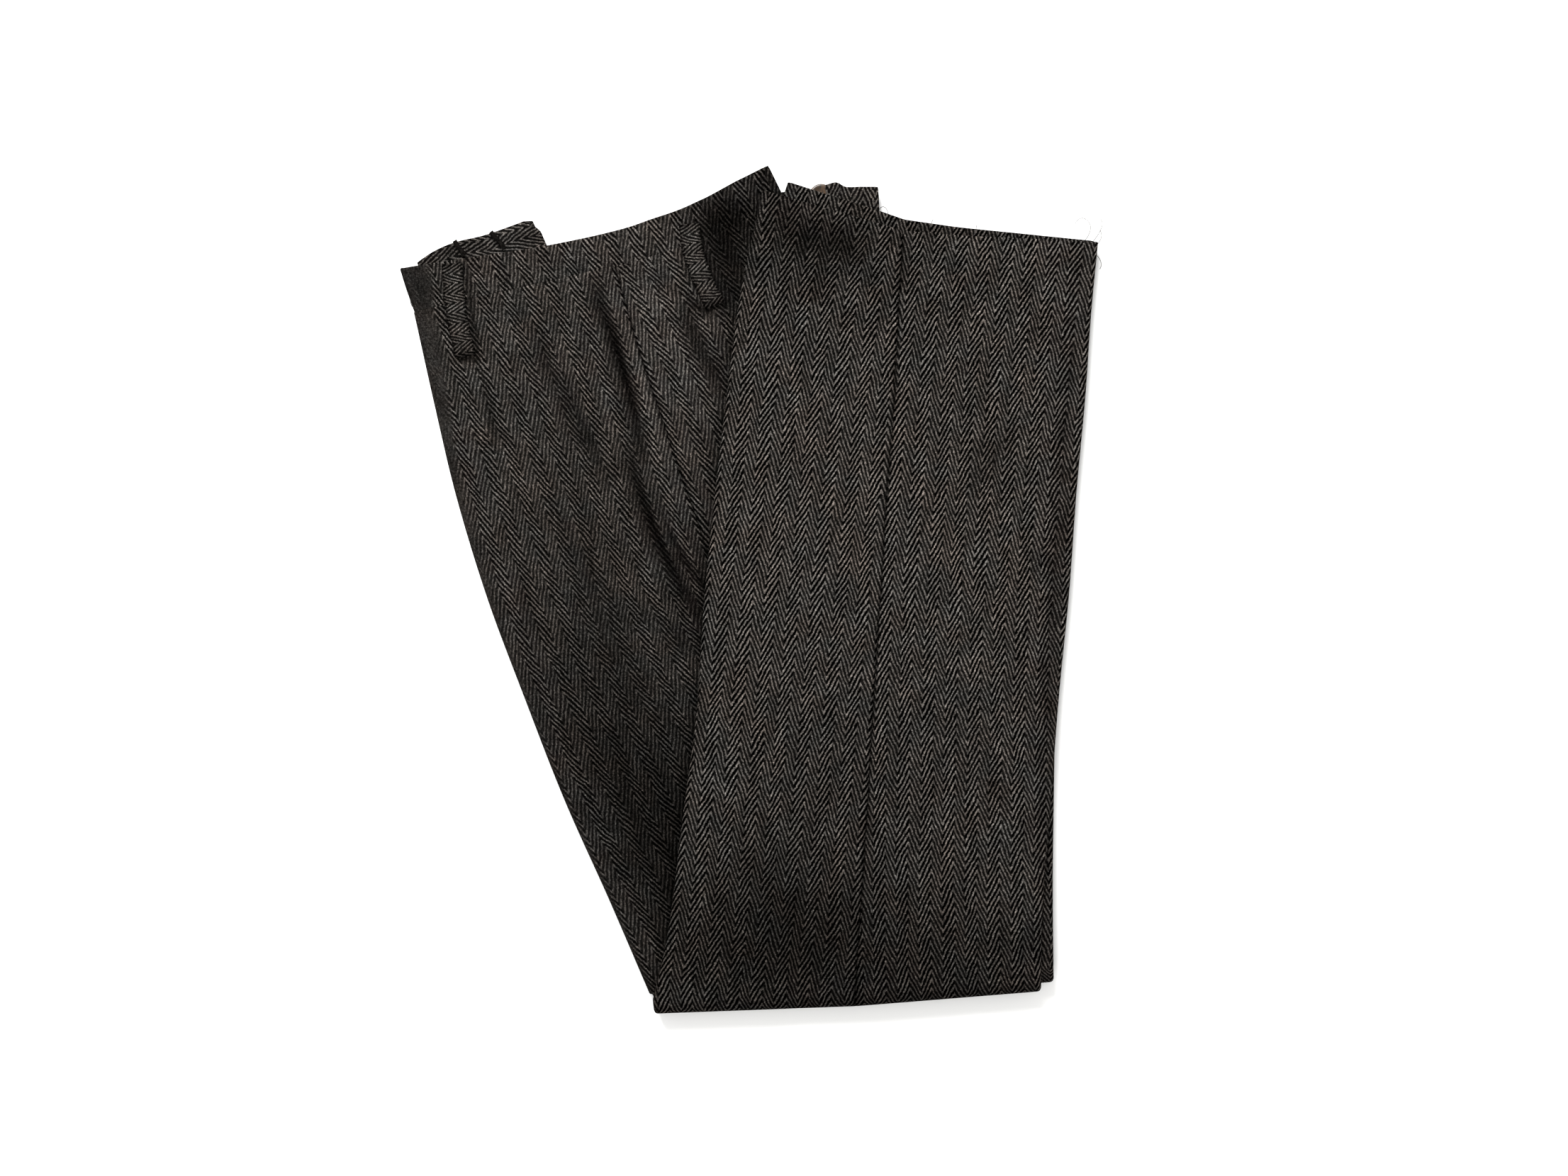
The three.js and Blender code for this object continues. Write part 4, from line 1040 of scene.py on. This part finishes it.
def woolHerringbone(name, changes):
    # worsted herringbone: paired light yarns standing over near-black ones, matt, with a faint nap
    cloth = {**herringbone, **wool, **changes}
    material, tree = newMaterial(name)
    place = addNode(tree, "ShaderNodeUVMap", uv_map="weave")
    inMm = addNode(tree, "ShaderNodeVectorMath", {0: place, 1: (1000, 1000, 1000)}, operation="MULTIPLY")
    wandering = inMm
    for scale, reach in cloth["wander"]:
        # each place is moved by a noise, so no yarn runs quite straight
        noise = addNode(tree, "ShaderNodeTexNoise", {"Vector": wandering, "Scale": scale, "Detail": 1.0})
        inputs = {0: noise.outputs["Color"], 1: (0.5, 0.5, 0.5)}
        offset = addNode(tree, "ShaderNodeVectorMath", inputs, operation="SUBTRACT")
        inputs = {0: offset, 1: (reach, reach, 0), 2: wandering}
        wandering = addNode(tree, "ShaderNodeVectorMath", inputs, operation="MULTIPLY_ADD")
    apart = addNode(tree, "ShaderNodeSeparateXYZ", {0: wandering})
    across, along = apart.outputs[0], apart.outputs[1]

    # the yarns climb over the rising stripe and come down over the falling one
    repeats = addNode(tree, "ShaderNodeMath", {0: across, 1: cloth["period"]}, operation="DIVIDE")
    part = addNode(tree, "ShaderNodeMath", {0: repeats}, operation="FRACT")
    rising = addNode(tree, "ShaderNodeMath", {0: part, 1: cloth["risingShare"]}, operation="DIVIDE")
    left = addNode(tree, "ShaderNodeMath", {0: 1.0, 1: part}, operation="SUBTRACT")
    falling = addNode(tree, "ShaderNodeMath", {0: left, 1: 1 - cloth["risingShare"]}, operation="DIVIDE")
    lower = addNode(tree, "ShaderNodeMath", {0: rising, 1: falling}, operation="MINIMUM")
    climb = addNode(tree, "ShaderNodeMath", {0: lower, 1: cloth["ribsPerStripe"]}, operation="MULTIPLY")
    ribs = addNode(tree, "ShaderNodeMath", {0: along, 1: cloth["ribSpacing"]}, operation="DIVIDE")
    phase = addNode(tree, "ShaderNodeMath", {0: ribs, 1: climb}, operation="SUBTRACT")
    acrossRib = addNode(tree, "ShaderNodeMath", {0: phase}, operation="FRACT")
    rib = addNode(tree, "ShaderNodeValToRGB", {0: acrossRib})
    stops = cloth["rib"]
    rib.color_ramp.interpolation = "EASE"
    for element, (position, value) in zip(rib.color_ramp.elements, (stops[0], stops[-1])):
        element.position, element.color = position, (value, value, value, 1)
    for position, value in stops[1:-1]:
        rib.color_ramp.elements.new(position).color = (value, value, value, 1)

    # the two stripes stand out differently, as painted light raking across the ribs, and where the cloth is
    # worn or shaded the weave goes
    plain = addNode(tree, "ShaderNodeAttribute", attribute_name="plain").outputs["Fac"]
    onRising = addNode(tree, "ShaderNodeMath", {0: part, 1: cloth["risingShare"]}, operation="LESS_THAN")
    inputs = {"Value": onRising, "To Min": cloth["fallingContrast"], "To Max": cloth["risingContrast"]}
    stripe = addNode(tree, "ShaderNodeMapRange", inputs)
    woven = addNode(tree, "ShaderNodeMath", {0: 1.0, 1: plain}, operation="SUBTRACT")
    contrast = addNode(tree, "ShaderNodeMath", {0: stripe, 1: woven}, operation="MULTIPLY")
    fromAverage = addNode(tree, "ShaderNodeMath", {0: rib, 1: cloth["average"]}, operation="SUBTRACT")
    inputs = {0: fromAverage, 1: contrast, 2: cloth["average"]}
    shown = addNode(tree, "ShaderNodeMath", inputs, operation="MULTIPLY_ADD")

    # lightness: the painted light and shade that the piece carries in its tone, then each noise on it
    yarnAcross = addNode(tree, "ShaderNodeMath", {0: phase, 1: cloth["yarnsPerRib"]}, operation="MULTIPLY")
    inputs = {0: inMm, 1: (1, cloth["streakLength"], 1)}
    places = {
        "cloth": inMm,
        "yarns": addNode(tree, "ShaderNodeCombineXYZ", {0: yarnAcross, 1: across}),
        "streaks": addNode(tree, "ShaderNodeVectorMath", inputs, operation="MULTIPLY"),
    }
    tone = addNode(tree, "ShaderNodeAttribute", attribute_name="tone").outputs["Fac"]
    lightness = addNode(tree, "ShaderNodeMath", {0: tone, 1: cloth["brightness"]}, operation="MULTIPLY")
    for uneven in cloth["uneven"]:
        scale, detail, roughness = uneven["noise"]
        inputs = {"Vector": places[uneven["on"]], "Scale": scale, "Detail": detail, "Roughness": roughness}
        noise = addNode(tree, "ShaderNodeTexNoise", inputs)
        (least, most), (low, high) = uneven["from"], uneven["to"]
        inputs = {"Value": noise, "From Min": least, "From Max": most, "To Min": low, "To Max": high}
        factor = addNode(tree, "ShaderNodeMapRange", inputs)
        lightness = addNode(tree, "ShaderNodeMath", {0: lightness, 1: factor}, operation="MULTIPLY")

    # colour: the light yarns are browner here and there
    browning = cloth["browning"]
    noise = addNode(tree, "ShaderNodeTexNoise", {"Vector": inMm, "Scale": browning["scale"], "Detail": 2.0})
    least, most = browning["from"]
    inputs = {"Value": noise.outputs["Color"], "From Min": least, "From Max": most}
    brownShare = addNode(tree, "ShaderNodeMapRange", {**inputs, "To Max": browning["most"]})
    inputs = {"Factor": brownShare, "A": linear(cloth["light"]), "B": linear(cloth["brown"])}
    yarns = addNode(tree, "ShaderNodeMix", inputs, data_type="RGBA").outputs["Result"]
    inputs = {"Factor": shown, "A": linear(cloth["dark"]), "B": yarns}
    colour = addNode(tree, "ShaderNodeMix", inputs, data_type="RGBA").outputs["Result"]
    toned = addNode(tree, "ShaderNodeVectorMath", {0: colour, "Scale": lightness}, operation="SCALE")

    nap = addNode(tree, "ShaderNodeTexNoise", {"Vector": inMm, "Scale": 2.5, "Detail": 2.0})
    inputs = {0: nap, 1: cloth["napHeight"], 2: shown}
    height = addNode(tree, "ShaderNodeMath", inputs, operation="MULTIPLY_ADD")
    inputs = {"Strength": 1.0, "Distance": cloth["ribHeight"] * mm, "Height": height}
    normal = addNode(tree, "ShaderNodeBump", inputs)
    finish = {"Roughness": cloth["roughness"], "Specular IOR Level": 0.0}
    shader = addNode(tree, "ShaderNodeBsdfPrincipled", {"Base Color": toned, "Normal": normal, **finish})
    addNode(tree, "ShaderNodeOutputMaterial", {"Surface": shader})
    return material


hornLook = {"dark": "#1f1409", "light": "#4a341c", "streaks": (900, 160, 160), "roughness": 0.32, "ior": 1.54}


def polishedHorn(name):
    # polished brown horn: streaks along the slab that it was cut from, a soft gloss
    material, tree = newMaterial(name)
    place = addNode(tree, "ShaderNodeTexCoord").outputs["Object"]
    place = addNode(tree, "ShaderNodeMapping", {"Vector": place, "Scale": hornLook["streaks"]})
    streaks = addNode(tree, "ShaderNodeTexNoise", {"Vector": place, "Scale": 1.0, "Detail": 3.0})
    spread = {"Value": streaks, "From Min": 0.35, "From Max": 0.65}
    shades = addNode(tree, "ShaderNodeMapRange", spread)
    ends = {"Factor": shades, "A": linear(hornLook["dark"]), "B": linear(hornLook["light"])}
    colour = addNode(tree, "ShaderNodeMix", ends, data_type="RGBA").outputs["Result"]
    finish = {"Base Color": colour, "Roughness": hornLook["roughness"], "IOR": hornLook["ior"]}
    shader = addNode(tree, "ShaderNodeBsdfPrincipled", finish)
    addNode(tree, "ShaderNodeOutputMaterial", {"Surface": shader})
    return material


def grainyMatt(name, look):
    # one colour, with a fine grain in its surface
    material, tree = newMaterial(name)
    place = addNode(tree, "ShaderNodeTexCoord").outputs["Object"]
    grain = addNode(tree, "ShaderNodeTexNoise", {"Vector": place, "Scale": look["grain"]})
    relief = {"Strength": look["strength"], "Distance": 0.1 * mm, "Height": grain}
    normal = addNode(tree, "ShaderNodeBump", relief)
    finish = {"Base Color": linear(look["colour"]), "Roughness": look["roughness"], "Normal": normal}
    shader = addNode(tree, "ShaderNodeBsdfPrincipled", finish)
    addNode(tree, "ShaderNodeOutputMaterial", {"Surface": shader})
    return material


# Spun polyester sewing thread, whose twist breaks its gloss; a board with matt white paint
threadLook = {"colour": "#3a3735", "roughness": 0.6, "grain": 2200.0, "strength": 0.4}
boardLook = {"colour": "#f7f7f6", "roughness": 0.9, "grain": 900.0, "strength": 0.1}

# Camera, floor and light
view = {
    "width": 2212,
    "height": 1659,
    "mmPerPixel": 0.475,
    "objectCentre": (1056.5, 834.5),
    "distance": 1500,  # mm above the plane that the scale is true for
    "plane": 12,
    "sensor": 36,
}


def setCamera():
    camera = bpy.data.objects.new("camera", bpy.data.cameras.new("camera"))
    x = (view["width"] / 2 - view["objectCentre"][0]) * view["mmPerPixel"]
    y = (view["objectCentre"][1] - view["height"] / 2) * view["mmPerPixel"]
    camera.location = (x * mm, y * mm, (view["distance"] + view["plane"]) * mm)
    camera.data.sensor_width = view["sensor"]
    camera.data.lens = view["sensor"] * view["distance"] / (view["width"] * view["mmPerPixel"])
    scene.collection.objects.link(camera)
    scene.camera = camera


studio = {
    "floorReach": 6.0,  # metres
    "floorLevel": -0.2 * mm,
    "panels": [
        {"name": "keyPanel", "at": (-0.5, 1.6, 1.5), "size": 1.0, "power": 80},
        {"name": "fillPanel", "at": (-0.6, -1.2, 2.0), "size": 1.8, "power": 14},
    ],
    "room": (1.0, 0.995, 0.985, 1),
    "roomStrength": 0.9,
}


def setStudio():
    floorMesh = bpy.data.meshes.new("floor")
    reach = studio["floorReach"]
    plan = (-reach, -reach), (reach, -reach), (reach, reach), (-reach, reach)
    corners = [(x, y, studio["floorLevel"]) for x, y in plan]
    floorMesh.from_pydata(corners, [], [(0, 1, 2, 3)])
    floor = bpy.data.objects.new("floor", floorMesh)
    floorMesh.materials.append(grainyMatt("paleBoard", boardLook))
    scene.collection.objects.link(floor)
    for settings in studio["panels"]:
        data = bpy.data.lights.new(settings["name"], "AREA")
        data.shape, data.size, data.energy = "SQUARE", settings["size"], settings["power"]
        light = bpy.data.objects.new(settings["name"], data)
        at = np.array(settings["at"])
        light.location = at
        distance = np.linalg.norm(at)
        light.rotation_euler = (math.acos(at[2] / distance), 0, math.atan2(at[1], at[0]) + math.pi / 2)
        scene.collection.objects.link(light)
    world = bpy.data.worlds.new("room")
    world.use_nodes = True
    background = world.node_tree.nodes["Background"].inputs
    background["Color"].default_value = studio["room"]
    background["Strength"].default_value = studio["roomStrength"]
    scene.world = world
    scene.view_settings.view_transform = "Standard"


# Small things
button = {"x": 48.5, "y": 266.1, "radius": 8.0, "thick": 2.5, "steps": 64}


def flyButton(material):
    # turned: a flat back, a rounded rim and a shallow dish
    base = seatBand["base"] + bandShape["thick"] + fold["gap"]
    rim, thick, steps = button["radius"], button["thick"], button["steps"]
    profile = [(0.0, 0), (rim - 1, 0), (rim - 0.3, 0.3), (rim, 0.8), (rim, 1.6), (rim - 0.3, 2.2)]
    profile += [(rim - 0.9, thick), (rim - 1.8, thick), (rim - 2.6, 2.2), (rim - 3.2, 1.9), (0.0, 1.8)]
    radius, z = np.array(profile).T
    angles = 2 * np.pi * np.arange(steps) / steps
    x = button["x"] + radius[:, None] * np.cos(angles)
    y = button["y"] + radius[:, None] * np.sin(angles)
    points = np.dstack([x, y, np.broadcast_to(base + z[:, None], x.shape)]).reshape(-1, 3)
    index = np.arange(len(points)).reshape(len(profile), steps)
    after = np.roll(index, -1, axis=1)
    faces = np.stack([index[:-1], after[:-1], after[1:], index[1:]], -1).reshape(-1, 4).tolist()
    weave, tone = np.zeros((len(points), 2)), np.ones((len(points), 2))
    made = makeObject("flyButton", points, faces, weave, tone, material)
    body = bmesh.new()
    body.from_mesh(made.data)
    bmesh.ops.remove_doubles(body, verts=body.verts, dist=1e-6)
    bmesh.ops.recalc_face_normals(body, faces=body.faces)
    body.to_mesh(made.data)
    body.free()
    return made


threadEnds = {
    "radius": 0.2,  # drawn a little thicker than real, so that it shows
    "routes": [
        [(86, 254, 3), (88, 259, 6), (91.5, 259.5, 7), (93.5, 256, 6), (94, 252, 5)],
        [(121, 243, 9), (121.5, 245.5, 11), (123.5, 249.5, 12)],
        [(151, 239, 9), (152.5, 242, 11), (152.5, 245.5, 11)],
        [(226, 236, 6), (231, 243, 9), (228, 250, 10), (222, 252, 10), (219, 247, 9)],
        [(231, 235, 6), (236, 241, 9), (239, 247, 10), (236, 250, 9)],
        [(233, 232, 5), (237, 236, 8), (238, 240, 8), (235.5, 243, 8)],
        [(234, 226, 6), (237, 223, 7), (237.5, 219, 7), (236, 217, 6)],
        [(-225, 190, 6), (-229, 194, 6), (-227, 198, 7)],
    ],
}


def looseThreads(material):
    # the ends that stand out past the hem and the waist, swept along their routes
    curve = bpy.data.curves.new("looseThreads", "CURVE")
    curve.dimensions = "3D"
    for route in threadEnds["routes"]:
        spline = curve.splines.new("NURBS")
        spline.points.add(len(route) - 1)
        for point, (x, y, z) in zip(spline.points, route):
            point.co = (x * mm, y * mm, z * mm, 1)
        spline.use_endpoint_u, spline.order_u, spline.resolution_u = True, 4, 8
    line = bpy.data.objects.new("looseThreads", curve)
    scene.collection.objects.link(line)
    tree = bpy.data.node_groups.new("sweptThread", "GeometryNodeTree")
    tree.interface.new_socket("Geometry", in_out="INPUT", socket_type="NodeSocketGeometry")
    radius = tree.interface.new_socket("Radius", in_out="INPUT", socket_type="NodeSocketFloat")
    tree.interface.new_socket("Geometry", in_out="OUTPUT", socket_type="NodeSocketGeometry")
    start = addNode(tree, "NodeGroupInput")
    section = {"Resolution": 6, "Radius": start.outputs["Radius"]}
    circle = addNode(tree, "GeometryNodeCurvePrimitiveCircle", section)
    sweep = {"Curve": start.outputs["Geometry"], "Profile Curve": circle, "Fill Caps": True}
    swept = addNode(tree, "GeometryNodeCurveToMesh", sweep)
    real = addNode(tree, "GeometryNodeRealizeInstances", {"Geometry": swept})
    finished = addNode(tree, "GeometryNodeSetMaterial", {"Geometry": real, "Material": material})
    addNode(tree, "NodeGroupOutput", {0: finished})
    modifier = line.modifiers.new("sweptThread", "NODES")
    modifier.node_group = tree
    modifier[radius.identifier] = threadEnds["radius"] * mm
    graph = bpy.context.evaluated_depsgraph_get()
    mesh = bpy.data.meshes.new_from_object(line.evaluated_get(graph))
    made = bpy.data.objects.new("looseThreadEnds", mesh)
    scene.collection.objects.link(made)
    bpy.data.objects.remove(line)
    mesh.shade_smooth()
    return made


# Build
setCamera()
setStudio()
print("camera and studio")

# darker copies of the same wool, painted shade, with the stripes' contrast set as painted raking light
hipPaintedLighting = {"risingContrast": 0.56, "fallingContrast": 0.9, "average": 0.2, "brightness": 0.81}
bandPaintedLighting = {"risingContrast": 0.8, "fallingContrast": 0.8, "average": 0.18, "brightness": 0.84}
legWool = woolHerringbone("worstedHerringboneLegs", {})
hipWool = woolHerringbone("worstedHerringboneHips", hipPaintedLighting)
bandWool = woolHerringbone("worstedHerringboneBand", bandPaintedLighting)
# the inside, a darker copy of the same wool: painted shade
innerWool = woolHerringbone("worstedHerringboneInside", {"brightness": 0.7})
print("materials")

extensionBase = seatBand["base"] + bandShape["thick"]
extensionRows = [
    {"top": (34, 267), "seam": (35, 247)},
    {"top": (48, 270.5), "seam": (49, 247)},
    {"top": (68, 270.5), "seam": (69, 248)},
    {"top": (84, 270), "seam": (85, 248)},
]
tabRows = [
    {"top": (52, 273.5), "seam": (55, 248)},
    {"top": (59, 275), "seam": (60, 248)},
    {"top": (65, 272.5), "seam": (66, 249)},
    {"top": (75, 272.5), "seam": (76, 250)},
    {"top": (86, 272.5), "seam": (87, 250)},
]


def tabTop(x, y):
    # over the button, then down beside it
    return seatBand["top"] + (button["thick"] + 0.1) * (1 - smoothstep(x, 57, 66))


def extensionTop(x, y):
    return np.full_like(x, extensionBase)


turnedBand = {"turned": fold["creaseRadius"], "steps": 110}
hipBand = {**turnedBand, "tone": hipTone}
hipGrain, plainGrain = weaveField("hipBand"), weaveField("under")
seatLoop = {"cut": (0.01, 0.014), "area": 7e-05}
# each piece, the node it stands for, and the cut of what shows, in metres
pieces = [
    {"piece": legPanel("back", legWool), "node": "left_leg_back", "cut": (0.14, 1.077), "area": 0.142},
    {"piece": legPanel("front", legWool), "node": "left_leg_front", "cut": (0.142, 1.055), "area": 0.1486},
    {"piece": hipBackPanel(hipWool), "node": "right_leg_back", "cut": (0.156, 0.489), "area": 0.0598},
    {"piece": hipFrontPanel(hipWool), "node": "right_leg_front", "cut": (0.116, 0.235), "area": 0.0142},
    {
        "piece": band("waistbandHip", waistRows, thighHeight, up, hipGrain, hipWool, hipBand),
        "node": "waistband_right",
        "cut": (0.028, 0.268),
        "area": 0.0071,
    },
    {
        "piece": band("waistbandUnder", farWaistRows, flat, -up, plainGrain, bandWool, turnedBand),
        "node": "waistband_left",
        "cut": (0.03, 0.332),
        "area": 0.0094,
    },
    {"piece": seatBandPiece(bandWool), "node": "waistband_seat", "cut": (0.031, 0.171), "area": 0.0053},
    {
        "piece": band("flyExtension", extensionRows, extensionTop, up, plainGrain, bandWool, {"steps": 26}),
        "node": "fly_extension",
        "cut": (0.025, 0.052),
        "area": 0.00125,
    },
    {
        "piece": band("flyTab", tabRows, tabTop, up, plainGrain, bandWool, {"steps": 40}),
        "node": "fly_tab",
        "cut": (0.026, 0.036),
        "area": 0.00091,
    },
    {
        "piece": beltLoop("beltLoopBack", [(-199, 219.5), (-196, 187), (-190, 158)], bandWool),
        "node": "belt_loop_back",
        "cut": (0.013, 0.062),
        "area": 0.0008,
    },
    {
        "piece": beltLoop("beltLoopFront", [(-40, 246), (-38, 230), (-33, 214), (-23, 192)], bandWool),
        "node": "belt_loop_front",
        "cut": (0.013, 0.058),
        "area": 0.00075,
    },
    {
        "piece": edgeLoop("seatLoopOuter", (-197.6, 235.4), (-191.3, 225.7), bandWool),
        "node": "seat_loop_outer",
        **seatLoop,
    },
    {
        "piece": edgeLoop("seatLoopInner", (-173.2, 241.4), (-164.1, 230.4), bandWool),
        "node": "seat_loop_inner",
        **seatLoop,
    },
    {"piece": innerLayers(innerWool), "node": "hidden_layers", "cut": (0.53, 1.06), "area": 0.559},
]
print("cloth")
for entry in pieces:
    piece = entry["piece"]
    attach(piece, "root")
    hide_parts(entry["node"])

buttonPiece = flyButton(polishedHorn("polishedHorn"))
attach(buttonPiece, "root")
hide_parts("fly_button")
threadPiece = looseThreads(grainyMatt("spunThread", threadLook))
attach(threadPiece, "root")
print("small things")
